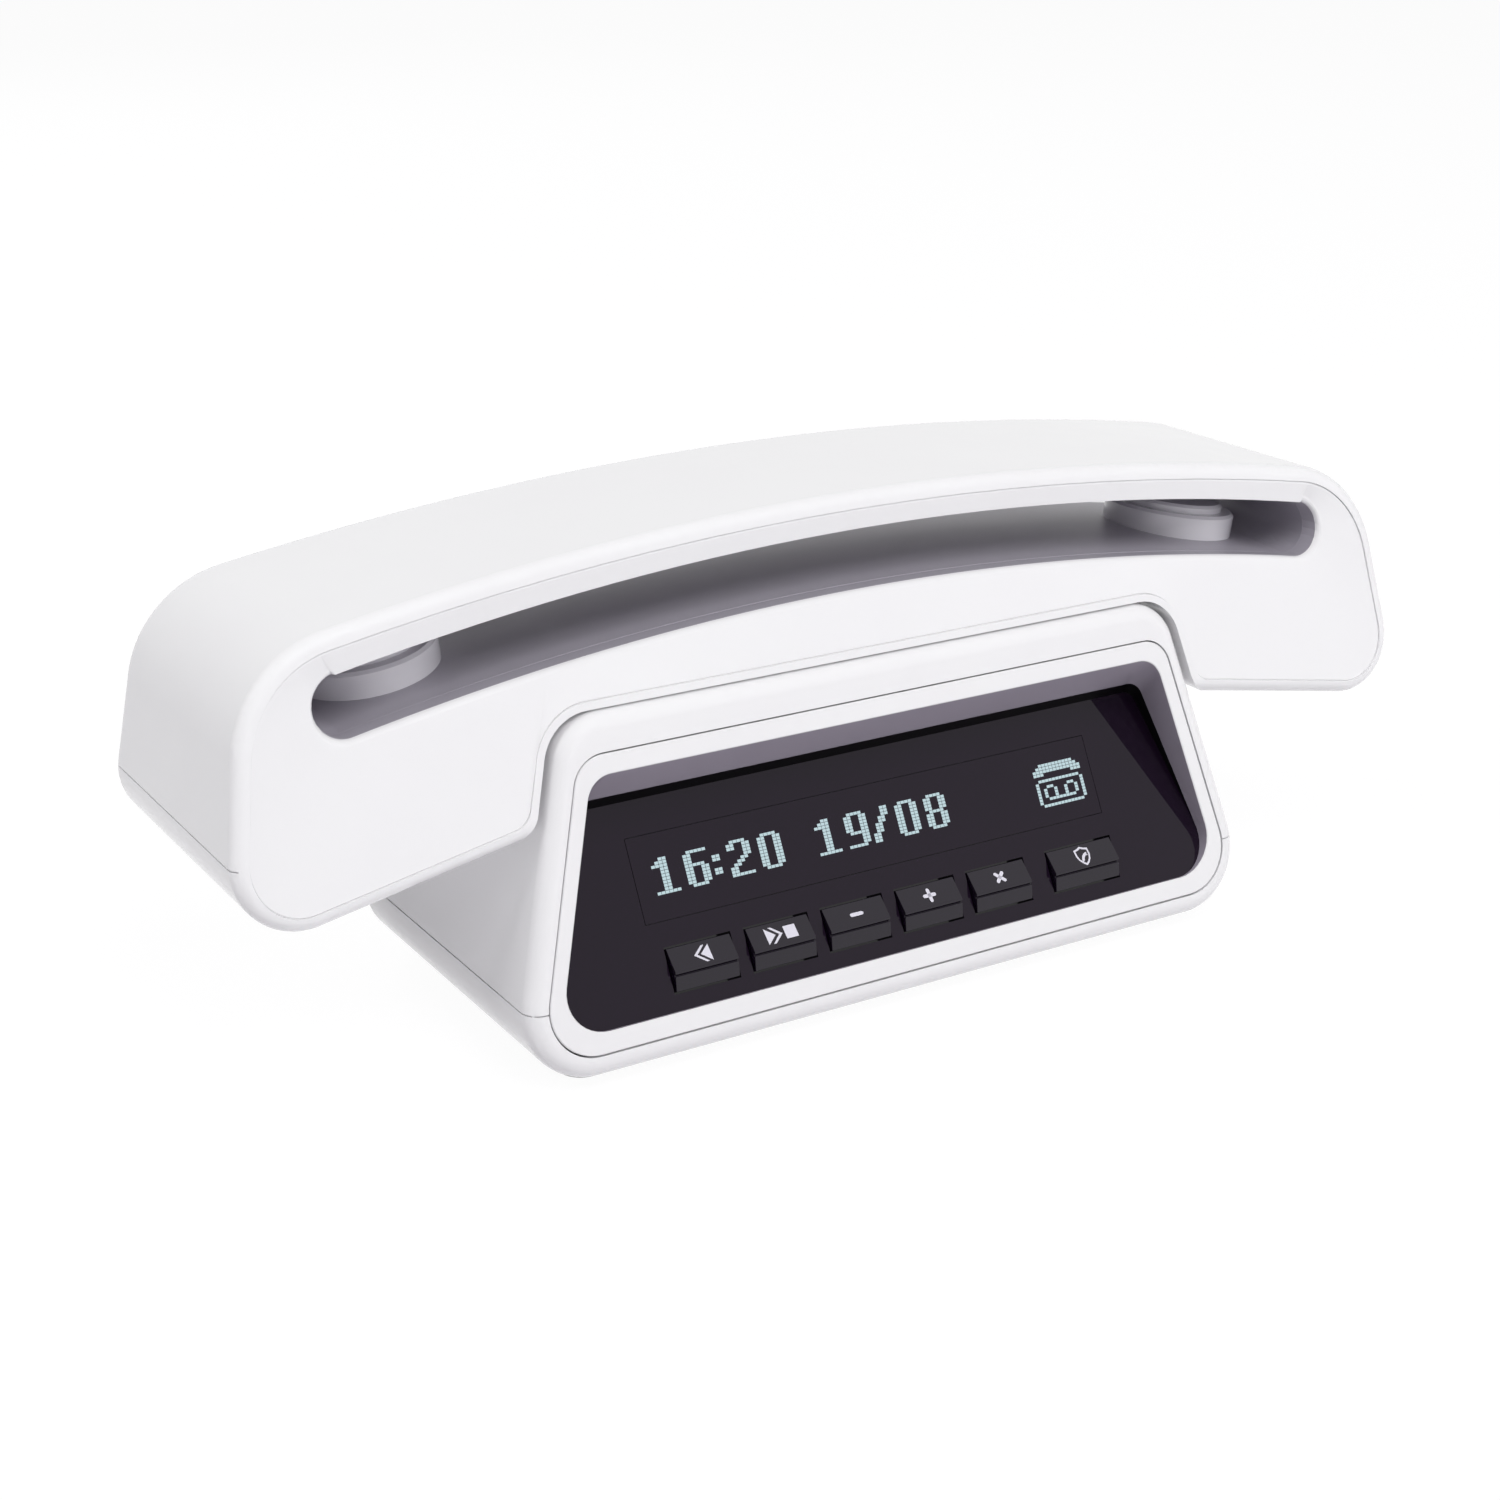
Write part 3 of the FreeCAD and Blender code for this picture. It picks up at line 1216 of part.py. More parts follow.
def cross_section(solid, normal, anchor):
    """The edges where a plane cuts a solid, in running order from the crown to the right."""
    edges = solid.slice(normal, normal.dot(anchor))[0].OrderedEdges
    heights = [edge.CenterOfMass.z for edge in edges]
    first = heights.index(max(heights))
    edges = edges[first:] + edges[:first]
    if edges[1].CenterOfMass.x < 0:
        edges = edges[:1] + edges[:0:-1]
    return edges


def dish(normal, rim_anchor, slot_anchor):
    """A solid bounded by ruled faces between the handset's outline and the slot's."""
    rim_form = handset_form(s.handset_wall + s.fascia_rim, s.fascia_lip + s.fascia_rim)
    rim = cross_section(rim_form, normal, rim_anchor)
    slot = cross_section(slot_prism(0.0, s.slot_height, s.slot_half), normal, slot_anchor)
    faces = [Part.makeRuledSurface(outer, inner) for outer, inner in zip(rim, slot)]
    faces.append(Part.Face(Part.Wire(Part.__sortEdges__(rim))))
    faces.append(Part.Face(Part.Wire(Part.__sortEdges__(slot))))
    shell = Part.makeShell(faces)
    shell.sewShape()
    solid = Part.makeSolid(shell)
    if solid.Volume < 0:
        solid.reverse()
    return solid


def fascia(label, normal, anchor_y, slab):
    """A closing plate of the handset, dished down to the grip slot."""
    rim_anchor = Vector(0, anchor_y, 0) - normal * s.fascia_set
    slot_anchor = rim_anchor - normal * s.dish_depth
    solid = fascia_form.common(slab).cut(dish(normal, rim_anchor, slot_anchor))
    solid = solid.cut(slot_prism(0.0, s.slot_height, s.slot_half))
    return keep_shape(label, solid.removeSplitter())


fascia("handset_front_fascia", front_normal, s.handset_front,
       handset_slab(s.fascia_set, 0.0).cut(handset_slab(fascia_back, 0.0)))
fascia("handset_back_fascia", back_normal, s.handset_back,
       handset_slab(0.0, s.fascia_set).cut(handset_slab(0.0, fascia_back)))

floor_drop = s.slot_height - s.grip_floor
inner_front = fascia_back / cos(s.front_lean) + s.saddle_top * tan(s.front_lean)
inner_back = fascia_back / cos(s.back_lean) + s.saddle_top * tan(s.back_lean)
tunnel_wires = [slot_wire(0.0, s.slot_height, s.slot_half),
                slot_wire(0.0, floor_drop, s.slot_half - s.grip_draw),
                slot_wire(0.0, s.slot_height, s.slot_half)]
tunnel_places = [s.handset_front + inner_front, s.middle_y, s.handset_back - inner_back]
for wire, y in zip(tunnel_wires, tunnel_places):
    wire.translate(Vector(0, y, 0))
tunnel = Part.makeLoft(tunnel_wires, True, True)
liner = slot_prism(-s.liner_wall, s.slot_height + s.liner_wall, s.slot_half + s.liner_wall)
liner = liner.common(inner_slab).cut(tunnel)
keep_shape("grip_liner", liner)

# ---------------------------------------------------------------------------
# The handset's shells
# ---------------------------------------------------------------------------

split_low, split_high = s.handset_seam, (s.saddle_top + s.slot_crown) / 2
split_out = saddle_side(0.0) + s.handset_wall + s.leg_seam_inset
split_in = saddle_side(s.saddle_top) + s.saddle_seam_inset
lower_part = prism([(-far, -far), (-far, split_low), (-split_out, split_low),
                    (-split_in, split_high), (split_in, split_high), (split_out, split_low),
                    (far, split_low), (far, -far)])
end_groove = block(-far, far, -far / 2, far / 2, split_low - s.seam_gap / 2,
                   split_low + s.seam_gap / 2)
groove_core = handset_form(s.seam_groove, s.seam_groove).fuse(
    block(-split_in, split_in, -far / 2, far / 2, 0.0, far / 2))
band = band.cut(end_groove.cut(groove_core))
keep_shape("handset_upper_shell", band.cut(lower_part).removeSplitter())

lower_band = band.common(lower_part)

digit_rows = ["keypad_x + keypad_row * %d" % index for index in range(4)]
digit_columns = ["keypad_y + keypad_column * %d" % (1 - index) for index in range(3)]
digit_labels = ["key_1", "key_2", "key_3", "key_4", "key_5", "key_6",
                "key_7", "key_8", "key_9", "key_star", "key_0", "key_hash"]
function_labels = ["key_talk", "key_up", "key_down", "key_end"]
keypad = []
for index, label in enumerate(digit_labels):
    keypad.append((label, digit_rows[index // 3], digit_columns[index % 3], "keycap_width"))
for index, label in enumerate(function_labels):
    keypad.append((label, "function_x", "keypad_y + function_column * %.1f" % (1.5 - index),
                   "function_width"))

for label, x, y, width in keypad:
    half_x = s.keycap_length / 2 + s.keycap_play
    half_y = number(width) / 2 + s.keycap_play
    hole = upright_round_block(number(x) - half_x, number(x) + half_x, number(y) - half_y,
                               number(y) + half_y, s.saddle_top - s.spare, s.inner_saddle + s.spare,
                               s.keycap_radius + s.keycap_play)
    lower_band = lower_band.cut(hole)

screen_half_x, screen_half_y = s.screen_length / 2, s.screen_width / 2
screen_seat = upright_round_block(
    s.screen_x - screen_half_x - s.glass_play, s.screen_x + screen_half_x + s.glass_play,
    s.keypad_y - screen_half_y - s.glass_play, s.keypad_y + screen_half_y + s.glass_play,
    s.saddle_top - s.spare, s.saddle_top + s.screen_thickness, s.screen_radius + s.glass_play)
screen_sight = block(s.screen_x - screen_half_x + s.screen_radius,
                     s.screen_x + screen_half_x - s.screen_radius,
                     s.keypad_y - screen_half_y + s.screen_radius,
                     s.keypad_y + screen_half_y - s.screen_radius,
                     s.saddle_top - s.spare, s.inner_saddle + s.spare)
lower_band = lower_band.cut(screen_seat).cut(screen_sight)

for row in contact_rows:
    slot = block(s.contact_x - s.contact_length / 2, s.contact_x + s.contact_length / 2,
                 row - s.contact_width / 2, row + s.contact_width / 2,
                 s.saddle_top - s.spare, s.inner_saddle + s.spare)
    lower_band = lower_band.cut(slot)

for edge_y in (s.handset_board_front, s.handset_board_back - s.board_rib):
    rib = block(-s.handset_board_half, s.handset_board_half, edge_y, edge_y + s.board_rib,
                s.saddle_top + s.handset_wall / 2, s.board_low)
    lower_band = lower_band.fuse(rib)


def on_leg(solid, side):
    """Move a solid made at the origin onto a leg's floor; side is +1 right, -1 left."""
    spot = Vector(side * s.leg_floor_x, s.leg_middle_y, s.leg_floor_z)
    solid.Placement = FreeCAD.Placement(
        spot, FreeCAD.Rotation(Vector(0, 1, 0), side * s.leg_slope))
    return solid


def sound_hole(side, x, y):
    """Drill one sound hole through a leg's underside."""
    return on_leg(cylinder_z(s.sound_hole_radius, x, y, -s.handset_wall - s.spare, s.spare), side)


ring_holes = 6
lower_band = lower_band.cut(sound_hole(-1, 0.0, 0.0))
for index in range(ring_holes):
    bearing = 360.0 * index / ring_holes
    lower_band = lower_band.cut(sound_hole(-1, s.sound_ring_radius * cos(bearing),
                                           s.sound_ring_radius * sin(bearing)))
for y in (-s.sound_ring_radius / 2, 0.0, s.sound_ring_radius / 2):
    lower_band = lower_band.cut(sound_hole(1, 0.0, y))

for radius, side in ((s.earpiece_radius, -1), (s.microphone_radius, 1)):
    collar = cylinder_z(radius + s.screw_play + s.battery_rib, 0.0, 0.0, -s.handset_wall / 2,
                        s.microphone_height / 2)
    collar = collar.cut(cylinder_z(radius + s.screw_play, 0.0, 0.0, -s.handset_wall, far))
    room = cylinder_z(radius + s.screw_play, 0.0, 0.0, 0.0, s.microphone_height)
    lower_band = lower_band.fuse(on_leg(collar, side)).cut(on_leg(room, side))

for offset in (-s.battery_width / 3, s.battery_width / 3):
    middle = s.leg_middle_y + offset
    rib = block(saddle_side(s.base_top), s.battery_right, middle - s.battery_rib / 2,
                middle + s.battery_rib / 2, s.leg_tip_z, s.battery_z)
    lower_band = lower_band.fuse(rib.common(handset_form(s.handset_wall / 2, s.handset_wall / 2)))
keep_shape("handset_lower_shell", lower_band.removeSplitter())

# ---------------------------------------------------------------------------
# The capsules in the grip
# ---------------------------------------------------------------------------

capsule = new_body("capsule_form", keep=False)
capsule_profile = polygon(capsule, "capsule_profile", "XZ_Plane",
                          [("0", "-spare"), ("capsule_radius", "-spare"),
                           ("capsule_radius", "capsule_step - capsule_chamfer"),
                           ("capsule_radius - capsule_chamfer", "capsule_step"),
                           ("capsule_neck_radius", "capsule_step"),
                           ("capsule_neck_radius", "capsule_height - capsule_chamfer"),
                           ("capsule_neck_radius - capsule_chamfer", "capsule_height"),
                           ("0", "capsule_height")])
revolve(capsule, capsule_profile)
floor_radius = s.slot_arch_radius - floor_drop
for label, side in (("earpiece_capsule", -1), ("microphone_capsule", 1)):
    angle = math.degrees(math.asin(s.capsule_x / floor_radius))
    foot_point = arch_point(side * angle, floor_drop)
    form = capsule.Shape.copy()
    form.Placement = FreeCAD.Placement(Vector(foot_point.x, s.capsule_y, foot_point.z),
                                       FreeCAD.Rotation(Vector(0, 1, 0), side * angle))
    keep_shape(label, form.cut(liner))

# ---------------------------------------------------------------------------
# What the handset holds
# ---------------------------------------------------------------------------

def handset_key(label, x, y, width):
    """A rounded key in the handset's underside, with the flange that keeps it in."""
    key = new_body(label)
    face = rectangle(key, label + "_face", "XY_Plane", "-keycap_length / 2", "-(%s) / 2" % width,
                     "keycap_length / 2", "(%s) / 2" % width)
    cap = pad(key, face, "handset_wall + keypad_proud")
    round_edges(key, cap, "keycap_radius", along(Vector(0, 0, 1)), label + "_corners")
    rim = rectangle(key, label + "_rim", "XY_Plane", "-keycap_length / 2 - keycap_flange",
                    "-(%s) / 2 - keycap_flange" % width, "keycap_length / 2 + keycap_flange",
                    "(%s) / 2 + keycap_flange" % width,
                    "handset_wall + keypad_proud")
    pad(key, rim, "keycap_flange")
    place(key, x, y, "saddle_top - keypad_proud")


for label, x, y, width in keypad:
    handset_key(label, x, y, width)

handset_mat = new_body("handset_key_mat")
handset_mat_face = rectangle(handset_mat, "handset_mat_face", "XY_Plane",
                             "function_x - keycap_length / 2 - keycap_flange",
                             "handset_board_front + board_rib",
                             "handset_board_half", "handset_board_back - board_rib", "mat_low")
pad(handset_mat, handset_mat_face, "handset_mat_thickness")
handset_domes = circles(handset_mat, "handset_domes", "XY_Plane",
                        [(x, y) for label, x, y, width in keypad], "dome_radius", "mat_low")
pad(handset_mat, handset_domes, "dome_height", True)

handset_board = new_body("handset_board")
handset_board_face = rectangle(handset_board, "handset_board_face", "XY_Plane",
                               "-handset_board_half", "handset_board_front",
                               "handset_board_half", "handset_board_back", "board_low")
pad(handset_board, handset_board_face, "board_thickness")

screen = new_body("handset_display_window")
screen_face = rectangle(screen, "screen_face", "XY_Plane", "screen_x - screen_length / 2",
                        "keypad_y - screen_width / 2", "screen_x + screen_length / 2",
                        "keypad_y + screen_width / 2", "saddle_top")
screen_pad = pad(screen, screen_face, "screen_thickness")
round_edges(screen, screen_pad, "screen_radius", along(Vector(0, 0, 1)), "screen_corners")

screen_module = new_body("handset_display_module")
screen_module_face = rectangle(screen_module, "screen_module_face", "XY_Plane",
                               "screen_x - screen_length / 2", "keypad_y - screen_width / 2",
                               "screen_x + screen_length / 2 - 2 * keycap_play",
                               "keypad_y + screen_width / 2", "inner_saddle")
pad(screen_module, screen_module_face, "board_low - inner_saddle")
screen_picture = rectangle(screen_module, "screen_picture", "XY_Plane",
                           "screen_x - screen_length / 2 + screen_radius + glass_play",
                           "keypad_y - screen_width / 2 + screen_radius + glass_play",
                           "screen_x + screen_length / 2 - screen_radius - glass_play",
                           "keypad_y + screen_width / 2 - screen_radius - glass_play",
                           "inner_saddle")
pad(screen_module, screen_picture, "handset_wall - screen_thickness - glass_play", True)

pads = []
for row in contact_rows:
    shank = block(s.contact_x - s.contact_length / 2, s.contact_x + s.contact_length / 2,
                  row - s.contact_width / 2, row + s.contact_width / 2,
                  s.saddle_top, s.inner_saddle)
    head = block(s.contact_x - s.contact_length / 2, s.contact_x + s.contact_length / 2,
                 row - s.contact_width / 2 - s.pad_flange, row + s.contact_width / 2 + s.pad_flange,
                 s.inner_saddle, s.inner_saddle + s.pad_flange)
    pads.append(shank.fuse(head).removeSplitter())
keep_shape("handset_charge_contacts", Part.makeCompound(pads))

earpiece = new_body("earpiece_speaker")
earpiece_profile = polygon(earpiece, "earpiece_profile", "XZ_Plane",
                           [("0", "earpiece_cone_depth"),
                            ("earpiece_cone_radius", "earpiece_lip"),
                            ("earpiece_cone_radius", "0"), ("earpiece_radius", "0"),
                            ("earpiece_radius", "earpiece_height / 2"),
                            ("earpiece_magnet_radius", "earpiece_height / 2"),
                            ("earpiece_magnet_radius", "earpiece_height"),
                            ("0", "earpiece_height")])
revolve(earpiece, earpiece_profile)
place(earpiece, "-leg_floor_x", "leg_middle_y", "leg_floor_z", "-leg_slope", "0; 1; 0")

microphone = new_body("microphone")
microphone_profile = polygon(microphone, "microphone_profile", "XZ_Plane",
                             [("0", "0"), ("microphone_radius", "0"),
                              ("microphone_radius", "microphone_height - microphone_chamfer"),
                              ("microphone_radius - microphone_chamfer", "microphone_height"),
                              ("0", "microphone_height")])
revolve(microphone, microphone_profile)
place(microphone, "leg_floor_x", "leg_middle_y", "leg_floor_z", "leg_slope", "0; 1; 0")

battery = new_body("handset_battery")
battery_face = rectangle(battery, "battery_face", "XY_Plane",
                         "battery_left", "leg_middle_y - battery_width / 2",
                         "battery_right", "leg_middle_y + battery_width / 2", "battery_z")
battery_pad = pad(battery, battery_face, "battery_height")
round_edges(battery, battery_pad, "battery_radius", along(Vector(0, 1, 0)), "battery_rounding")

# ---------------------------------------------------------------------------
# Checks and export
# ---------------------------------------------------------------------------

doc.recompute()
for thing in doc.Objects:
    if thing.State and "Invalid" in thing.State:
        raise RuntimeError("%s is not up to date" % thing.Label)

for node in nodes:
    shape = node.Shape
    if shape.isNull() or not shape.isValid() or not shape.Solids or shape.Volume <= 0:
        raise RuntimeError("%s has a bad shape" % node.Label)

for node in nodes:
    node.Shape.exportStep("parts/%s.step" % node.Label)

print("nodes: %d" % len(nodes))
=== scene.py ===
import json
import logging
import math
from contextlib import contextmanager
from dataclasses import dataclass
from enum import Enum
from typing import Callable, Iterator, Optional, Sequence

import bpy
from mathutils import Matrix, Vector


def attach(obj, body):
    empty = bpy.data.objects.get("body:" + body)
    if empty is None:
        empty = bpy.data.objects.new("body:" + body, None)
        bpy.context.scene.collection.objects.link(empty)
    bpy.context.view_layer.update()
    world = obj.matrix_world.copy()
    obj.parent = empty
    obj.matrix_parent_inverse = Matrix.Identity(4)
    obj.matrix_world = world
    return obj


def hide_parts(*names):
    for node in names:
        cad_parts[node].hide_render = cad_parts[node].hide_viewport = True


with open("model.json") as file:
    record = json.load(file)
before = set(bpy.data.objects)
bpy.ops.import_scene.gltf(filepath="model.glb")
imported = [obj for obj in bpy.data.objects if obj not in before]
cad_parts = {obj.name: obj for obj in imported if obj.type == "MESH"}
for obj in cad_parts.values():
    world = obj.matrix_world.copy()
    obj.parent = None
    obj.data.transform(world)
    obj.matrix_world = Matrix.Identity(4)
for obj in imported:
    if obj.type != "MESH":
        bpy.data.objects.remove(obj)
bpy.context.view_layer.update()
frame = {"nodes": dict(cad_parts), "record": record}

NODE_SLOTS = {part["node"]: part["material_slot"] for part in frame["record"]["subparts"]}
MM = 0.001
MERGE_GAP = 0.002 * MM
NODE_MERGE_GAP = 0.001 * MM
FLAT_WITHIN = 0.2
FRONT_LEAN = 11.91
BACK_LEAN = 5.71
PANEL_LEAN = 28.0
SIDE_LEAN = 15.1
BASE_HALF_WIDTH = 68.8 * MM
BASE_WIDTH_AT = 14.19 * MM
FACE_WEIGHT = 80
LOG = logging.getLogger("telephone")

Point = tuple[float, float]


# ---------------------------------------------------------------------------
# Benchwork: picking, shaping and finishing a mesh with Blender's operators
# ---------------------------------------------------------------------------

def pick_only(piece: bpy.types.Object) -> None:
    """Select one object and make it the active one.

    Args:
        piece: The object to pick.
    """
    bpy.ops.object.select_all(action="DESELECT")
    piece.select_set(True)
    bpy.context.view_layer.objects.active = piece


@contextmanager
def editing(piece: bpy.types.Object, select: Optional[str] = "DESELECT") -> Iterator[None]:
    """Open a piece in edit mode and close it again.

    Args:
        piece: The mesh object to edit.
        select: What becomes of the selection on opening, or None to keep it.

    Returns:
        A context in which edit-mode operators act on the piece.
    """
    pick_only(piece)
    bpy.context.tool_settings.mesh_select_mode = (False, False, True)
    bpy.ops.object.mode_set(mode="EDIT")
    if select:
        bpy.ops.mesh.select_all(action=select)
    try:
        yield
    finally:
        bpy.ops.object.mode_set(mode="OBJECT")


def pick_faces(piece: bpy.types.Object, test: Callable[[Vector, Vector], bool]) -> int:
    """Select the faces whose middle and normal pass a test, from object mode.

    Args:
        piece: The mesh object.
        test: A test of a face's middle and its normal.

    Returns:
        How many faces are selected.
    """
    mesh = piece.data
    mesh.vertices.foreach_set("select", [False] * len(mesh.vertices))
    mesh.edges.foreach_set("select", [False] * len(mesh.edges))
    chosen = [test(face.center, face.normal) for face in mesh.polygons]
    mesh.polygons.foreach_set("select", chosen)
    return sum(chosen)


def name_new(name: str) -> bpy.types.Object:
    """Give the object that an operator has just added its name.

    Args:
        name: The name of the object and its data.

    Returns:
        The object.
    """
    piece = bpy.context.object
    piece.name = name
    piece.data.name = name
    return piece


def settle(piece: bpy.types.Object) -> None:
    """Move a piece's place, turn and scale into its mesh."""
    pick_only(piece)
    bpy.ops.object.transform_apply(location=True, rotation=True, scale=True)


def lay_in(piece: bpy.types.Object, place: Matrix) -> None:
    """Carry a finished mesh into a frame, and leave the object at the origin.

    Args:
        piece: The mesh object.
        place: The frame's matrix.
    """
    settle(piece)
    piece.matrix_world = place
    settle(piece)


def close_up(piece: bpy.types.Object) -> None:
    """Merge doubled points and turn every face outwards.

    Args:
        piece: The mesh object.
    """
    with editing(piece, "SELECT"):
        bpy.ops.mesh.remove_doubles(threshold=MERGE_GAP)
        bpy.ops.mesh.normals_make_consistent(inside=False)


def round_over(piece: bpy.types.Object, width: float, steps: int = 3, angle: float = 35.0) -> None:
    """Round a piece's sharp edges with a bevel that is applied.

    Args:
        piece: The mesh object.
        width: The bevel's width in metres.
        steps: How many strips make the rounding.
        angle: Only edges sharper than this, in degrees, are rounded.
    """
    pick_only(piece)
    bevel = piece.modifiers.new("rounding", "BEVEL")
    bevel.width = width
    bevel.segments = steps
    bevel.limit_method = "ANGLE"
    bevel.angle_limit = math.radians(angle)
    bevel.use_clamp_overlap = True
    bpy.ops.object.modifier_apply(modifier=bevel.name)


def shade(piece: bpy.types.Object, angle: float = 32.0) -> None:
    """Shade a piece smooth, with its creases kept and its flats kept flat.

    Args:
        piece: The mesh object.
        angle: Edges sharper than this, in degrees, stay creases.
    """
    pick_only(piece)
    bpy.ops.object.shade_smooth_by_angle(angle=math.radians(angle))
    weighting = piece.modifiers.new("weighting", "WEIGHTED_NORMAL")
    weighting.keep_sharp = True
    weighting.weight = FACE_WEIGHT
    bpy.ops.object.modifier_apply(modifier=weighting.name)


def outline_plate(name: str, loops: Sequence[Sequence[Point]],
                  thickness: float) -> bpy.types.Object:
    """Make a thin plate from closed outlines, where an inner outline is a hole.

    Args:
        name: The piece's name.
        loops: Closed outlines of (x, y) points in metres.
        thickness: The plate's thickness in metres, from z 0 upwards.

    Returns:
        The plate as a mesh object.
    """
    curve = bpy.data.curves.new(name, "CURVE")
    curve.dimensions = "2D"
    curve.fill_mode = "BOTH"
    curve.extrude = thickness / 2
    for loop in loops:
        spline = curve.splines.new("POLY")
        spline.points.add(len(loop) - 1)
        for point, (x, y) in zip(spline.points, loop):
            point.co = (x, y, 0.0, 1.0)
        spline.use_cyclic_u = True
    piece = bpy.data.objects.new(name, curve)
    bpy.context.scene.collection.objects.link(piece)
    pick_only(piece)
    bpy.ops.object.convert(target="MESH")
    piece = bpy.context.object
    piece.location.z = thickness / 2
    settle(piece)
    close_up(piece)
    return piece


def join(name: str, pieces: Sequence[bpy.types.Object]) -> bpy.types.Object:
    """Join several meshes into one piece with a new name.

    Args:
        name: The joined piece's name.
        pieces: The meshes, all at the origin.

    Returns:
        The joined piece.
    """
    bpy.ops.object.select_all(action="DESELECT")
    for piece in pieces:
        piece.select_set(True)
    bpy.context.view_layer.objects.active = pieces[0]
    bpy.ops.object.join()
    return name_new(name)


def ring_skin(name: str, rings: Sequence[Sequence[Vector]]) -> bpy.types.Object:
    """Stretch a closed skin over rings of points, the last one joined to the first.

    Args:
        name: The piece's name.
        rings: Closed rings, each with the same number of points, in metres.

    Returns:
        The skin as a closed mesh object, with its faces in the rings' order.
    """
    around, along = len(rings[0]), len(rings)
    bpy.ops.object.select_all(action="DESELECT")
    bpy.ops.mesh.primitive_grid_add(x_subdivisions=around, y_subdivisions=along, size=1.0)
    piece = name_new(name)
    for vertex in piece.data.vertices:
        row, column = divmod(vertex.index, around + 1)
        vertex.co = rings[row % along][column % around]
    close_up(piece)
    return piece


def extremes(piece: bpy.types.Object, place: Matrix) -> tuple[Vector, Vector]:
    """Give the lowest and the highest corner of a mesh's box in a frame.

    Args:
        piece: The mesh object.
        place: The frame's matrix.

    Returns:
        The box's low and high corners in that frame.
    """
    into = place.inverted()
    spots = [into @ vertex.co for vertex in piece.data.vertices]
    return (Vector([min(spot[axis] for spot in spots) for axis in range(3)]),
            Vector([max(spot[axis] for spot in spots) for axis in range(3)]))


def moulded_copy(node: str, name: str, crease: float = 30.0) -> bpy.types.Object:
    """Copy a node's mesh, knit its triangles together and shade it as one moulding.

    Args:
        node: The node of the frame.
        name: The new piece's name.
        crease: Edges sharper than this, in degrees, stay creases.

    Returns:
        The knitted copy, which stands where the node stands.
    """
    mesh = frame["nodes"][node].data.copy()
    mesh.materials.clear()
    piece = bpy.data.objects.new(name, mesh)
    mesh.name = name
    bpy.context.scene.collection.objects.link(piece)
    pick_only(piece)
    if mesh.has_custom_normals:
        bpy.ops.mesh.customdata_custom_splitnormals_clear()
    with editing(piece, "SELECT"):
        bpy.ops.mesh.remove_doubles(threshold=NODE_MERGE_GAP)
        bpy.ops.mesh.dissolve_limited(angle_limit=math.radians(FLAT_WITHIN))
    shade(piece, crease)
    return piece


# ---------------------------------------------------------------------------
# Finishes
# ---------------------------------------------------------------------------

def linear(sheet: str) -> tuple[float, float, float, float]:
    """Turn an sRGB hex colour such as #F2F1F3 into linear red, green, blue and alpha."""
    def channel(text: str) -> float:
        """Turn one two-digit channel linear."""
        value = int(text, 16) / 255.0
        return value / 12.92 if value <= 0.04045 else ((value + 0.055) / 1.055) ** 2.4

    digits = sheet.lstrip("#")
    return (channel(digits[0:2]), channel(digits[2:4]), channel(digits[4:6]), 1.0)


def add_node(tree: bpy.types.NodeTree, kind: str, settings: Optional[dict] = None,
             links: Optional[dict] = None) -> bpy.types.Node:
    """Add a shader node with its settings and its links.

    Args:
        tree: The material's node tree.
        kind: The node's type name.
        settings: Node properties by name, and socket values by socket name.
        links: Sockets to feed, by socket name or index, from output sockets.

    Returns:
        The new node.
    """
    node = tree.nodes.new(kind)
    for key, value in (settings or {}).items():
        if hasattr(node, key):
            setattr(node, key, value)
        else:
            node.inputs[key].default_value = value
    for key, source in (links or {}).items():
        tree.links.new(source, node.inputs[key])
    return node


class Surface(Enum):
    """How a moulding's skin was made, which sets its relief."""

    POLISHED = "polished"
    SATIN = "satin"
    SPARKED = "sparked"
    DRAWN = "drawn"


# The relief's pitch and depth in millimetres.
RELIEF_PITCH = {Surface.POLISHED: 7.0, Surface.SATIN: 0.45, Surface.SPARKED: 0.6,
                Surface.DRAWN: 0.25}
RELIEF_DEPTH = {Surface.POLISHED: 0.006, Surface.SATIN: 0.008, Surface.SPARKED: 0.05,
                Surface.DRAWN: 0.006}


# How large and how strong the patterns in the finishes are.
TINT_SIZE = 22.0 * MM
GLOSS_SPREAD = 0.15
DRAWN_GRAIN = (0.08, 1.0, 1.0)
WAVE_SIZE = 9.0 * MM
DOT_SIZE = 0.9 * MM
LIGHT_DEPTH = 2.0 * MM


def begin_material(name: str) -> tuple[bpy.types.Material, bpy.types.Node, bpy.types.NodeSocket]:
    """Start a node material whose patterns sit on the object.

    Args:
        name: The material's name.

    Returns:
        The material, its surface shader and the object coordinates.
    """
    material = bpy.data.materials.new(name)
    material.use_nodes = True
    tree = material.node_tree
    place = add_node(tree, "ShaderNodeTexCoord").outputs["Object"]
    return material, tree.nodes["Principled BSDF"], place


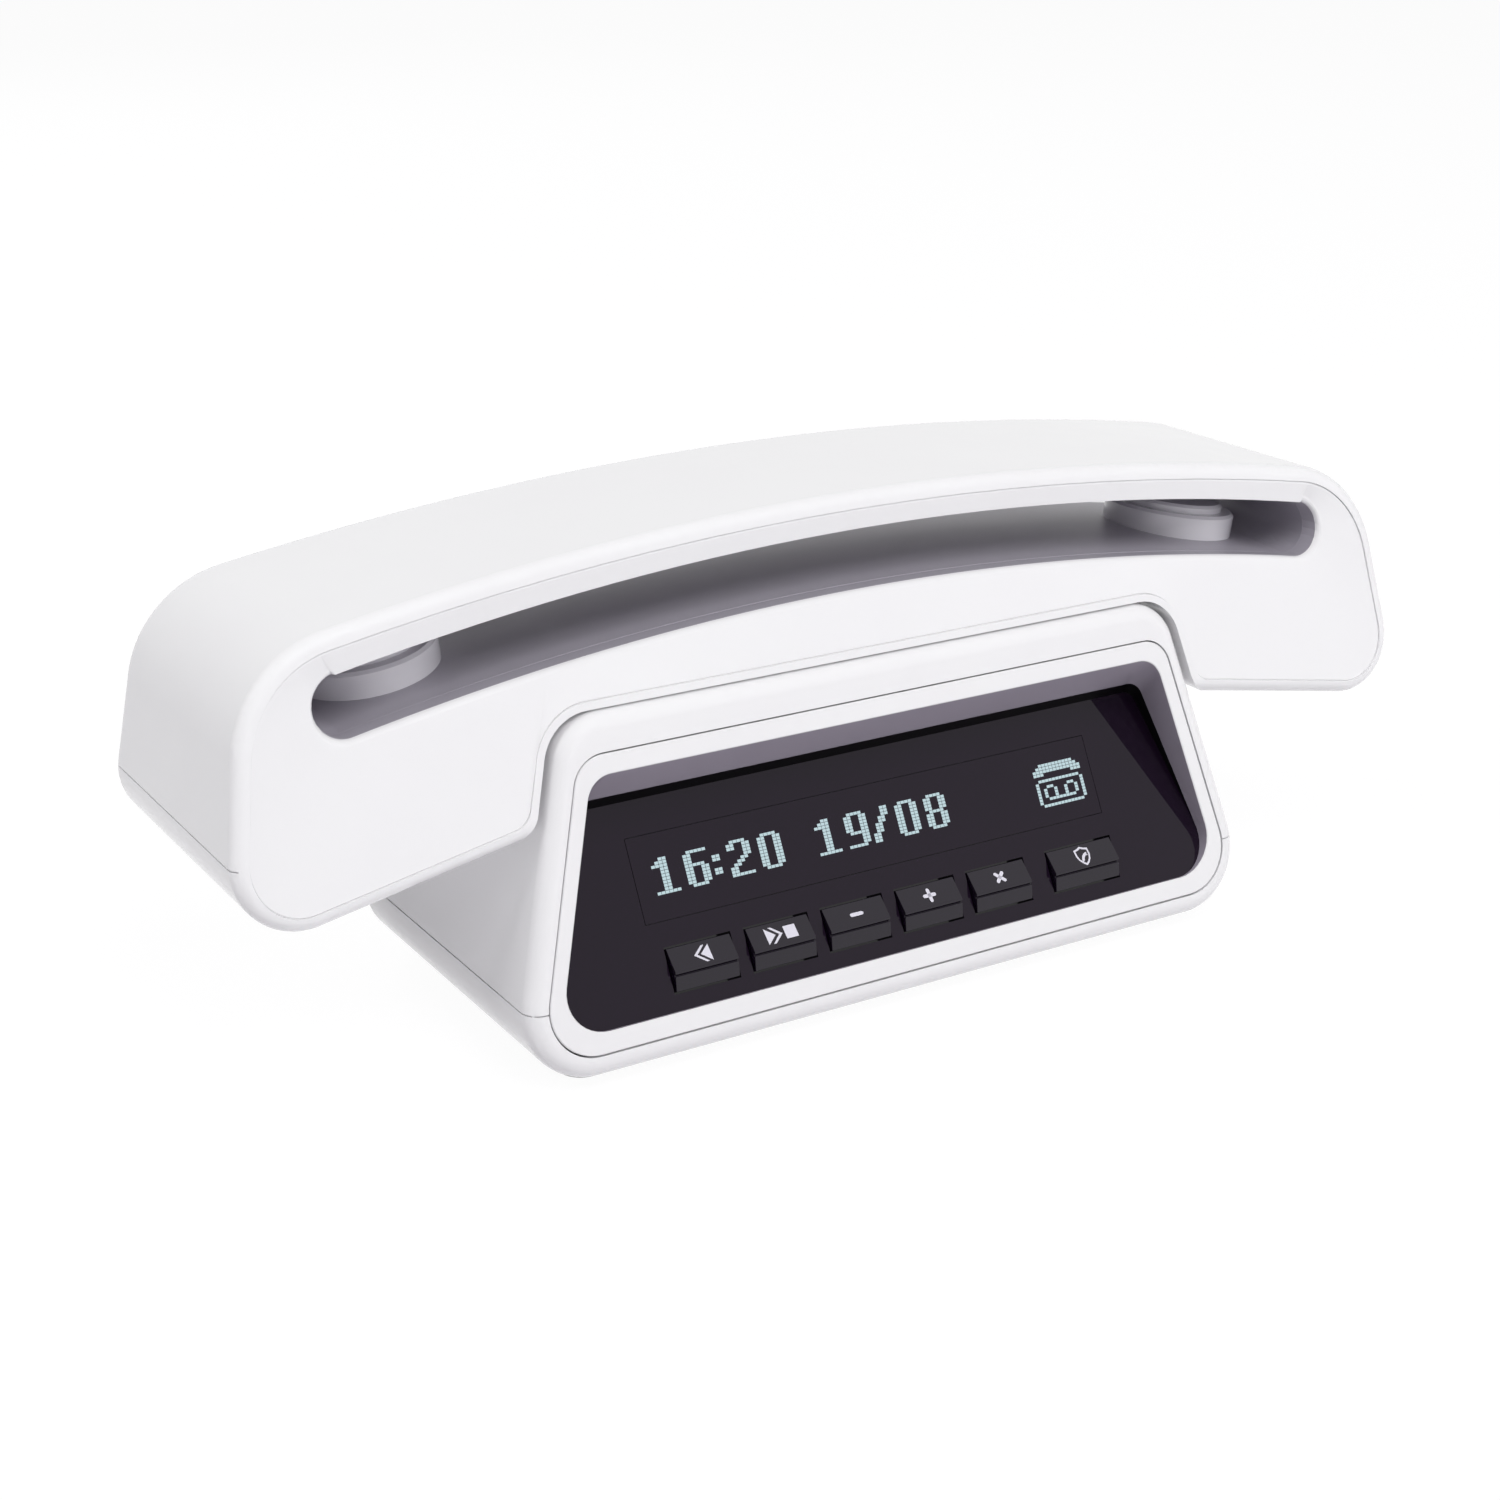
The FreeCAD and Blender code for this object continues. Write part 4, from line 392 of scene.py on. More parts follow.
@dataclass(frozen=True)
class Finish:
    """A solid material: its colour, its gloss and the relief of its skin."""

    name: str
    colour: str
    shade_colour: str
    roughness: float
    surface: Surface
    ior: float = 1.5
    specular: float = 0.5
    metallic: float = 0.0
    coat: float = 0.0
    coat_roughness: float = 0.05
    subsurface: float = 0.0

    def material(self) -> bpy.types.Material:
        """Build the node material, or give the one that is already built."""
        known = bpy.data.materials.get(self.name)
        if known:
            return known
        material, shader, place = begin_material(self.name)
        tree = material.node_tree
        pitch = RELIEF_PITCH[self.surface] * MM
        if self.surface is Surface.DRAWN:
            place = add_node(tree, "ShaderNodeMapping", {"Scale": DRAWN_GRAIN},
                             {"Vector": place}).outputs["Vector"]
        grain = add_node(tree, "ShaderNodeTexNoise",
                         {"Scale": 1.0 / pitch, "Detail": 2.0, "Roughness": 0.45},
                         {"Vector": place})
        cloud = add_node(tree, "ShaderNodeTexNoise",
                         {"Scale": 1.0 / TINT_SIZE, "Detail": 1.0}, {"Vector": place})
        tint = add_node(tree, "ShaderNodeMix", {"data_type": "RGBA"})
        tint.inputs[6].default_value = linear(self.shade_colour)
        tint.inputs[7].default_value = linear(self.colour)
        tree.links.new(cloud.outputs["Fac"], tint.inputs[0])
        gloss = add_node(tree, "ShaderNodeMapRange",
                         {"To Min": self.roughness * (1.0 - GLOSS_SPREAD),
                          "To Max": self.roughness * (1.0 + GLOSS_SPREAD)},
                         {"Value": grain.outputs["Fac"]})
        bump = add_node(tree, "ShaderNodeBump",
                        {"Strength": 1.0, "Distance": RELIEF_DEPTH[self.surface] * MM},
                        {"Height": grain.outputs["Fac"]})
        tree.links.new(tint.outputs[2], shader.inputs["Base Color"])
        tree.links.new(gloss.outputs["Result"], shader.inputs["Roughness"])
        tree.links.new(bump.outputs["Normal"], shader.inputs["Normal"])
        shader.inputs["Metallic"].default_value = self.metallic
        shader.inputs["Coat Weight"].default_value = self.coat
        shader.inputs["Coat Roughness"].default_value = self.coat_roughness
        shader.inputs["Subsurface Weight"].default_value = self.subsurface
        if self.subsurface:
            shader.inputs["Subsurface Scale"].default_value = LIGHT_DEPTH
        if not self.metallic:
            shader.inputs["IOR"].default_value = self.ior
            shader.inputs["Specular IOR Level"].default_value = self.specular
        return material


@dataclass(frozen=True)
class Glow:
    """A lit display segment."""

    name: str
    colour: str
    strength: float = 1.0
    dimmest: float = 0.92
    brightest: float = 1.04

    def material(self) -> bpy.types.Material:
        """Build the glowing material, with each dot's light a little uneven."""
        known = bpy.data.materials.get(self.name)
        if known:
            return known
        material, shader, place = begin_material(self.name)
        tree = material.node_tree
        cloud = add_node(tree, "ShaderNodeTexNoise", {"Scale": 1.0 / DOT_SIZE, "Detail": 1.0},
                         {"Vector": place})
        level = add_node(tree, "ShaderNodeMapRange",
                         {"To Min": self.strength * self.dimmest,
                          "To Max": self.strength * self.brightest},
                         {"Value": cloud.outputs["Fac"]})
        shader.inputs["Base Color"].default_value = linear("#0A0C0E")
        shader.inputs["Roughness"].default_value = 0.4
        shader.inputs["Emission Color"].default_value = linear(self.colour)
        tree.links.new(level.outputs["Result"], shader.inputs["Emission Strength"])
        return material


@dataclass(frozen=True)
class ClearSheet:
    """A clear or smoked window moulding."""

    name: str
    colour: str
    ior: float = 1.49
    smoothest: float = 0.01
    roughest: float = 0.03

    def material(self) -> bpy.types.Material:
        """Build the clear material, with a faint waviness."""
        known = bpy.data.materials.get(self.name)
        if known:
            return known
        material, shader, place = begin_material(self.name)
        tree = material.node_tree
        wave = add_node(tree, "ShaderNodeTexNoise", {"Scale": 1.0 / WAVE_SIZE, "Detail": 1.0},
                        {"Vector": place})
        gloss = add_node(tree, "ShaderNodeMapRange",
                         {"To Min": self.smoothest, "To Max": self.roughest},
                         {"Value": wave.outputs["Fac"]})
        shader.inputs["Base Color"].default_value = linear(self.colour)
        shader.inputs["Transmission Weight"].default_value = 1.0
        shader.inputs["IOR"].default_value = self.ior
        tree.links.new(gloss.outputs["Result"], shader.inputs["Roughness"])
        return material


# ABS, polished in the tool: an even, slightly cool white with a sharp, clear gloss.
WHITE_ABS = Finish("polished_white_abs", "#F4F4F5", "#F1F0F2", 0.16, Surface.POLISHED, ior=1.53,
                   coat=0.2)
# White ABS of the grip's tunnel, its colour painted grey-violet as the shade deep inside the slot,
# with a finely etched skin that spreads its reflections wide.
TUNNEL_PAINTED_SHADE = Finish("satin_grey_abs", "#A9A5AF", "#A4A0AA", 0.38, Surface.SATIN, ior=1.53)
# ABS, semi-polished: the capsules in the grip.
CAPSULE_ABS = Finish("semi_gloss_white_abs", "#E9E7EC", "#E3E1E7", 0.22, Surface.POLISHED,
                     ior=1.53, coat=0.2)
# PMMA, coloured through and polished: nearly black with a violet cast, and mirror-like.
BLACK_PMMA = Finish("polished_black_pmma", "#190E1E", "#170C1C", 0.03, Surface.POLISHED, ior=1.49,
                    specular=0.26)
# White ABS of the hood behind the base's window, semi-polished, its colour painted grey-violet as
# the shade inside the window's recess.
HOOD_PAINTED_SHADE = Finish("semi_gloss_grey_abs", "#ADA6B3", "#A7A0AD", 0.2, Surface.POLISHED, ior=1.53)
# ABS in black with a fine skin: the tray's wall, which swallows the light.
TRAY_BLACK = Finish("satin_black_abs", "#09080A", "#070608", 0.35, Surface.SATIN, ior=1.5,
                    specular=0.12)
# ABS in black, polished: the base's keys, whose edges catch thin highlights.
KEY_ABS = Finish("polished_black_abs", "#160D1D", "#120A19", 0.1, Surface.POLISHED, ior=1.53,
                 specular=0.42)
# Pad-printed ink: flat, slightly cool white.
WHITE_INK = Finish("white_pad_printing_ink", "#E6E4EE", "#DEDCE8", 0.5, Surface.SATIN, ior=1.5)
# ABS in white with an etched skin: the handset's keys.
HANDSET_KEY_ABS = Finish("satin_white_abs", "#DEDCE2", "#D6D4DA", 0.32, Surface.SATIN, ior=1.53)
# Pad-printed ink: flat grey, for the signs on the handset's keys.
GREY_INK = Finish("grey_pad_printing_ink", "#4E4A55", "#46424D", 0.5, Surface.SATIN, ior=1.5)
# ABS in charcoal, spark-eroded tool: the bottom plate, dull and evenly grained.
CHARCOAL_ABS = Finish("sparked_charcoal_abs", "#2A292C", "#232225", 0.55, Surface.SPARKED,
                      ior=1.53)
# Natural rubber with carbon black: matt, and grey only where light grazes it.
BLACK_RUBBER = Finish("black_rubber", "#1B1A1C", "#151416", 0.7, Surface.SPARKED, ior=1.52)
# Silicone: soft, matt and a little see-through at its edges.
SILICONE = Finish("grey_silicone_rubber", "#8E8E92", "#86868A", 0.5, Surface.SATIN, ior=1.41,
                  subsurface=0.2)
# Glass-fibre board under green solder mask: a thin gloss over a faint weave.
SOLDER_MASK = Finish("green_solder_mask", "#1F5B33", "#1A4F2C", 0.3, Surface.SATIN, ior=1.55)
# Nickel plate on spring bronze: bright, faintly warm, drawn along its length.
NICKEL = Finish("nickel_plate", "#C9C3B8", "#BDB7AC", 0.2, Surface.DRAWN, metallic=1.0)
# Zinc-plated steel: the screws.
ZINC = Finish("zinc_plated_steel", "#AEB1B6", "#A2A5AB", 0.32, Surface.DRAWN, metallic=1.0)
# Moulded polyamide: the sockets, dull black.
BLACK_NYLON = Finish("black_polyamide", "#1A1A1C", "#141416", 0.48, Surface.SATIN, ior=1.53)
# Pulp cone in a stamped basket: the loudspeakers.
SPEAKER_PULP = Finish("black_speaker_pulp", "#212123", "#19191B", 0.75, Surface.SPARKED)
# Shrink sleeve: the battery pack.
SHRINK_SLEEVE = Finish("blue_shrink_sleeve", "#2B4C8E", "#27447F", 0.28, Surface.POLISHED)
# The display's rear polariser: a dense, even black.
POLARISER = Finish("black_polariser", "#0D0B0E", "#0B0A0C", 0.3, Surface.SATIN)
# Lit segments: a pale blue that shines evenly and throws no highlight.
DISPLAY_GLOW = Glow("display_glow", "#BCD4DA")
# PMMA, clear: the handset's display window, through which the dark module shows.
CLEAR_PMMA = ClearSheet("clear_pmma", "#D8D4DA")

# The grip liner's satin grey slot takes the tunnel's painted shade.
SLOT_FINISH = {
    "gloss_white_plastic": WHITE_ABS, "satin_grey_plastic": TUNNEL_PAINTED_SHADE,
    "satin_white_plastic": CAPSULE_ABS, "gloss_black_plastic": BLACK_PMMA,
    "smoked_glass": BLACK_PMMA, "display_module_black": POLARISER, "key_plastic": KEY_ABS,
    "silicone": SILICONE, "circuit_board": SOLDER_MASK, "speaker_black": SPEAKER_PULP,
    "nickel": NICKEL, "satin_dark_plastic": CHARCOAL_ABS, "black_rubber": BLACK_RUBBER,
    "zinc_steel": ZINC, "socket_black_plastic": BLACK_NYLON, "battery_sleeve": SHRINK_SLEEVE,
}


def dress(piece: bpy.types.Object, finish: Finish | Glow | ClearSheet) -> None:
    """Give a piece one finish all over."""
    piece.data.materials.clear()
    piece.data.materials.append(finish.material())


def paint_strips(piece: bpy.types.Object, around: int, strips: range, finish: Finish) -> None:
    """Give some of the strips between a skin's rings a second finish.

    Args:
        piece: A skin made by ring_skin and dressed in its first finish.
        around: How many faces a strip has.
        strips: The strips, counted from the first ring.
        finish: Their finish.
    """
    piece.data.materials.append(finish.material())
    for face in piece.data.polygons[strips.start * around:strips.stop * around]:
        face.material_index = 1


def dress_nodes() -> None:
    """Give every node of the frame the finish of its material slot."""
    for node, thing in frame["nodes"].items():
        material = SLOT_FINISH[NODE_SLOTS[node]].material()
        if not thing.material_slots:
            thing.data.materials.append(material)
        for holder in thing.material_slots:
            holder.material = material


# ---------------------------------------------------------------------------
# Leaning frames and outlines
# ---------------------------------------------------------------------------

@dataclass(frozen=True)
class LeaningFrame:
    """A leaning face's own frame: x to the right, y up its slope, z out of it."""

    lean: float
    recess: float
    window_low: float = 9.5 * MM
    front_at_table: float = -34.12 * MM

    def place(self) -> Matrix:
        """Give the matrix that carries this frame into the telephone's."""
        lean = math.radians(FRONT_LEAN)
        depth = self.front_at_table + self.window_low * math.tan(lean)
        origin = Vector((0.0, depth + self.recess * math.cos(lean),
                         self.window_low - self.recess * math.sin(lean)))
        turn = Matrix.Rotation(math.radians(90.0 - self.lean), 4, "X")
        return Matrix.Translation(origin) @ turn


FRONT = LeaningFrame(FRONT_LEAN, 0.0)
PANEL = LeaningFrame(PANEL_LEAN, 0.6 * MM)


def disc_points(radius: float, middle: Point = (0.0, 0.0), start: float = 0.0,
                sweep: float = 360.0, steps: int = 10) -> list[Point]:
    """Give points along a round stretch.

    Args:
        radius: The radius in metres.
        middle: The centre.
        start: The bearing of the first point in degrees, anticlockwise from x.
        sweep: The angle covered in degrees.
        steps: How many points are given.

    Returns:
        The points, without the last one of a full turn.
    """
    last = steps if abs(sweep) >= 360.0 else steps - 1
    points = []
    for step in range(steps):
        bearing = math.radians(start + sweep * step / last)
        points.append((middle[0] + radius * math.cos(bearing),
                       middle[1] + radius * math.sin(bearing)))
    return points


def stretch(start: Point, end: Point, radius: float, steps: int) -> list[Point]:
    """Give points along a straight or round stretch, without its last point.

    Args:
        start: Where the stretch starts.
        end: Where it ends.
        radius: 0 for a straight one; above 0 it turns right, below 0 left.
        steps: How many points are given.

    Returns:
        The points from the start on.
    """
    first, last = Vector(start), Vector(end)
    if not radius:
        return [tuple(first.lerp(last, step / steps)) for step in range(steps)]
    chord = last - first
    height = math.copysign(math.sqrt(radius ** 2 - (chord.length / 2) ** 2), radius)
    middle = (first + last) / 2 + Vector((chord.y, -chord.x)).normalized() * height
    sweep = -2 * math.copysign(math.asin(chord.length / 2 / abs(radius)), radius)
    return [tuple(middle + Matrix.Rotation(sweep * step / steps, 2) @ (first - middle))
            for step in range(steps)]


def heading(bearing: float) -> Vector:
    """Give the unit vector at a bearing in degrees, clockwise from up."""
    return Vector((math.sin(math.radians(bearing)), math.cos(math.radians(bearing))))


@dataclass(frozen=True)
class Side:
    """A straight side of an outline that is walked clockwise, on a bearing in degrees."""

    through: Point
    bearing: float

    def inwards(self) -> Vector:
        """Give the unit vector that points into the outline."""
        return heading(self.bearing + 90.0)

    def moved(self, by: float) -> "Side":
        """Give the side moved into the outline."""
        return Side(tuple(Vector(self.through) + self.inwards() * by), self.bearing)

    def meets(self, other: "Side") -> Vector:
        """Give the point where this side's line crosses another's."""
        way, its_way = heading(self.bearing), heading(other.bearing)
        gap = Vector(other.through) - Vector(self.through)
        return Vector(self.through) + way * (gap.cross(its_way) / way.cross(its_way))

    def rounding(self, other: "Side", radius: float) -> tuple[Vector, Vector]:
        """Give where the rounding between this side and the next starts and ends.

        Args:
            other: The next side.
            radius: The rounding's radius; below 0 it turns left.

        Returns:
            The two ends of the round stretch.
        """
        middle = self.moved(radius).meets(other.moved(radius))
        return middle - self.inwards() * radius, middle - other.inwards() * radius


@dataclass(frozen=True)
class RoundedTrapezoid:
    """An upright trapezoid with rounded corners, as the bezel and its window have."""

    half_low: float
    half_high: float
    low: float
    high: float
    foot_radius: float
    head_radius: float

    def grown(self, by: float) -> "RoundedTrapezoid":
        """Give the outline that runs outside this one at a distance."""
        slope = (self.half_low - self.half_high) / (self.high - self.low)
        bulge = math.hypot(1.0, slope) * by
        return RoundedTrapezoid(self.half_low + bulge + slope * by,
                                self.half_high + bulge - slope * by, self.low - by,
                                self.high + by, self.foot_radius + by, self.head_radius + by)

    def lowered(self, drop: float, head_radius: float) -> "RoundedTrapezoid":
        """Give the same sides under a lower head."""
        slope = (self.half_low - self.half_high) / (self.high - self.low)
        return RoundedTrapezoid(self.half_low, self.half_high + slope * drop, self.low,
                                self.high - drop, self.foot_radius, head_radius)

    def points(self, steps: int = 12) -> list[Point]:
        """Give the outline's points, anticlockwise from the lower right corner."""
        side = math.atan2(self.high - self.low, self.half_high - self.half_low)
        across, upward = -math.sin(side), math.cos(side)
        turn = math.degrees(side) - 90.0
        foot_middle = (self.half_low + self.foot_radius * (1.0 - upward) / across,
                       self.low + self.foot_radius)
        head_middle = (self.half_high + self.head_radius * (1.0 + upward) / across,
                       self.high - self.head_radius)
        right = (disc_points(self.foot_radius, foot_middle, -90.0, 90.0 + turn, steps)
                 + disc_points(self.head_radius, head_middle, turn, 90.0 - turn, steps))
        return right + [(-x, y) for x, y in reversed(right)]


def front_outline(border: float, low: float, high: float, foot_radius: float,
                  head_radius: float) -> RoundedTrapezoid:
    """Give an outline on the front whose sides run inside the base's at a distance.

    Args:
        border: How far the sides lie inside the base's, measured level, in metres.
        low: Height of the lower edge above the table.
        high: Height of the upper edge above the table.
        foot_radius: Radius of the lower corners.
        head_radius: Radius of the upper corners.

    Returns:
        The outline in the front's frame.
    """
    rise, run = math.cos(math.radians(FRONT_LEAN)), math.tan(math.radians(SIDE_LEAN))
    halves = [BASE_HALF_WIDTH + run * (BASE_WIDTH_AT - height) - border for height in (low, high)]
    return RoundedTrapezoid(*halves, (low - FRONT.window_low) / rise,
                            (high - FRONT.window_low) / rise, foot_radius, head_radius)


# ---------------------------------------------------------------------------
# The display
# ---------------------------------------------------------------------------

DIGITS = {
    "0": (".####.", "##..##", "##..##", "##..##", "##..##", "##..##",
          "##..##", "##..##", "##..##", "##..##", ".####."),
    "1": ("..##..", ".###..", "####..", "..##..", "..##..", "..##..",
          "..##..", "..##..", "..##..", "..##..", "######"),
    "2": (".####.", "##..##", "##..##", "....##", "....##", "...##.",
          "..##..", ".##...", "##....", "##....", "######"),
    "6": (".#####", "##....", "##....", "##....", "#####.", "##..##",
          "##..##", "##..##", "##..##", "##..##", ".####."),
    "8": (".####.", "##..##", "##..##", "##..##", "##..##", ".####.",
          "##..##", "##..##", "##..##", "##..##", ".####."),
    "9": (".####.", "##..##", "##..##", "##..##", "##..##", "##..##",
          ".#####", "....##", "....##", "....##", "#####."),
    ":": ("..", "..", "..", "##", "##", "..", "..", "##", "##", "..", ".."),
    "/": ("...##", "...##", "...##", "..##.", "..##.", ".##..",
          ".##..", ".##..", "##...", "##...", "##..."),
}

TAPE_SYMBOL = (
    "..##########..",
    ".############.",
    "##############",
    "###........###",
    "..............",
    ".############.",
    "#............#",
    "#..##....##..#",
    "#.#..#..#..#.#",
    "#.#..#..#..#.#",
    "#.#..#..#..#.#",
    "#..########..#",
    "#............#",
    ".############.",
)


@dataclass
class DotDisplay:
    """A dot-matrix display: its lit dots, seen in the face of its dark window."""

    dot_width: float = 0.709 * MM
    dot_height: float = 0.523 * MM
    dot_gap: float = 0.035 * MM
    text: str = "16:20 19/08"
    text_left: float = -42.3 * MM
    text_top: float = 23.65 * MM
    symbol_left: float = 31.35 * MM
    symbol_top: float = 24.3 * MM
    level: float = 0.02 * MM
    space: int = 7

    def text_rows(self) -> list[str]:
        """Spell the text in dots, with the display's own spacing."""
        rows = [""] * len(DIGITS["0"])
        for place, sign in enumerate(self.text):
            if sign == " ":
                rows = [row + "." * self.space for row in rows]
                continue
            following = self.text[place + 1:place + 2]
            gap = 1 if following in (":", "/") else 2
            rows = [row + dots + "." * gap for row, dots in zip(rows, DIGITS[sign])]
        return rows

    def lit_dots(self, name: str, rows: Sequence[str], left: float,
                 top: float) -> bpy.types.Object:
        """Make the lit dots of a pattern from a grid whose dark cells are cut away.

        Args:
            name: The piece's name.
            rows: The pattern, top row first, with # for a lit dot.
            left: Left edge of the pattern in the panel's frame, in metres.
            top: Top edge of the pattern in the panel's frame, in metres.

        Returns:
            The dots as one mesh object in the panel's frame.
        """
        columns, lines = len(rows[0]), len(rows)
        width, height = columns * self.dot_width, lines * self.dot_height
        bpy.ops.object.select_all(action="DESELECT")
        bpy.ops.mesh.primitive_grid_add(x_subdivisions=columns, y_subdivisions=lines, size=1.0)
        piece = name_new(name)
        piece.scale = (width, height, 1.0)
        piece.location = (left + width / 2, top - height / 2, self.level)
        settle(piece)

        def dark(middle: Vector, normal: Vector) -> bool:
            """Tell whether the cell round a point is dark."""
            column = int((middle.x - left) / self.dot_width)
            line = int((top - middle.y) / self.dot_height)
            return rows[line][column] != "#"

        pick_faces(piece, dark)
        with editing(piece, None):
            bpy.ops.mesh.delete(type="FACE")
            bpy.ops.mesh.select_all(action="SELECT")
            bpy.ops.mesh.edge_split(type="EDGE")
            bpy.ops.mesh.inset(thickness=self.dot_gap, depth=0.0, use_individual=True)
            bpy.ops.mesh.select_all(action="INVERT")
            bpy.ops.mesh.delete(type="FACE")
        return piece

    def build(self) -> None:
        """Build the lit dots and lay them on the window's face."""
        plans = (("display_time_and_date", self.text_rows(), self.text_left, self.text_top),
                 ("display_message_symbol", TAPE_SYMBOL, self.symbol_left, self.symbol_top))
        for name, rows, left, top in plans:
            piece = self.lit_dots(name, rows, left, top)
            lay_in(piece, PANEL.place())
            dress(piece, DISPLAY_GLOW)
            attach(piece, "base")
            LOG.info("built %s", name)


# ---------------------------------------------------------------------------
# The base's keys
# ---------------------------------------------------------------------------

def box_points(left: float, right: float, low: float, high: float) -> list[Point]:
    """Give the outline of a rectangle."""
    return [(left, low), (right, low), (right, high), (left, high)]


def rounded_bar(length: float, width: float) -> list[Point]:
    """Give the outline of a bar along x with round ends."""
    reach = length / 2 - width / 2
    return (disc_points(width / 2, (reach, 0.0), -90.0, 180.0)
            + disc_points(width / 2, (-reach, 0.0), 90.0, 180.0))


def turned(points: Sequence[Point], degrees: float) -> list[Point]:
    """Turn an outline about the origin."""
    cosine, sine = math.cos(math.radians(degrees)), math.sin(math.radians(degrees))
    return [(x * cosine - y * sine, x * sine + y * cosine) for x, y in points]


def shifted(points: Sequence[Point], across: float, upward: float = 0.0) -> list[Point]:
    """Move an outline."""
    return [(x + across, y + upward) for x, y in points]


class Symbol(Enum):
    """The printed signs on the base's keys."""

    REWIND = "rewind"
    PLAY_STOP = "play and stop"
    MINUS = "minus"
    PLUS = "plus"
    CROSS = "cross"
    SHIELD = "shield"


@dataclass(frozen=True)
class SymbolPrint:
    """Draws the signs on the keys as flat outlines round the sign's middle."""

    stroke: float = 0.42 * MM
    arrow: float = 2.8 * MM
    slimness: float = 1.22
    chevron_weight: float = 1.2
    bar_length: float = 2.5 * MM
    bar_width: float = 0.62 * MM
    stop_half: float = 1.08 * MM
    shield_inner: float = 0.78

    def arrow_head(self, direction: float) -> list[Point]:
        """Give a filled arrow head with its base on x 0, pointing left or right."""
        half = self.arrow / 2
        return [(0.0, half), (direction * half * self.slimness, 0.0), (0.0, -half)]

    def chevron(self, direction: float) -> list[Point]:
        """Give an open arrow head of the stroke's width."""
        half = self.arrow / 2
        tip = direction * half * self.slimness
        back = -direction * self.stroke * self.chevron_weight
        return [(0.0, half), (tip, 0.0), (0.0, -half), (back, -half),
                (tip + self.chevron_weight * back, 0.0), (back, half)]

    def shield(self, scale: float) -> list[Point]:
        """Give a shield outline with a pointed foot, scaled about its middle."""
        top = [(-1.45, 1.25), (-0.6, 1.45), (0.0, 1.75), (0.6, 1.45), (1.45, 1.25)]
        side = [(1.45, 0.1), (1.15, -0.75), (0.6, -1.4), (0.0, -1.8)]
        other = [(-x, y) for x, y in side[-2::-1]]
        return [(x * scale * MM, y * scale * MM) for x, y in top + side + other]

    def receiver(self) -> list[Point]:
        """Give a small curved receiver."""
        outer = disc_points(1.5 * MM, (0.95 * MM, -0.95 * MM), 92.0, 86.0, 8)
        inner = disc_points(1.0 * MM, (0.95 * MM, -0.95 * MM), 172.0, -74.0, 8)
        head = [(0.75 * MM, -0.1 * MM), (1.15 * MM, 0.1 * MM)]
        foot = [(-0.55 * MM, -1.2 * MM), (-0.05 * MM, -0.8 * MM)]
        return head[::-1] + outer + foot + inner

    def outlines(self, symbol: Symbol) -> list[list[list[Point]]]:
        """Give the plates of a sign, each as a list of outlines.

        Args:
            symbol: The sign.

        Returns:
            A list of plates; a plate is a list of outlines, the later ones holes.
        """
        bar = rounded_bar(self.bar_length, self.bar_width)
        if symbol is Symbol.REWIND:
            return [[shifted(self.arrow_head(-1.0), 1.35 * MM)],
                    [shifted(self.chevron(-1.0), 0.15 * MM)]]
        if symbol is Symbol.PLAY_STOP:
            half = self.stop_half
            square = box_points(-half, half, -half, half)
            return [[shifted(self.arrow_head(1.0), -2.75 * MM)],
                    [shifted(self.chevron(1.0), -1.45 * MM)],
                    [shifted(square, 1.75 * MM)]]
        if symbol is Symbol.MINUS:
            return [[bar]]
        if symbol is Symbol.PLUS:
            return [[bar], [turned(bar, 90.0)]]
        if symbol is Symbol.CROSS:
            return [[turned(bar, 45.0)], [turned(bar, -45.0)]]
        return [[self.shield(1.0), self.shield(self.shield_inner)], [self.receiver()]]


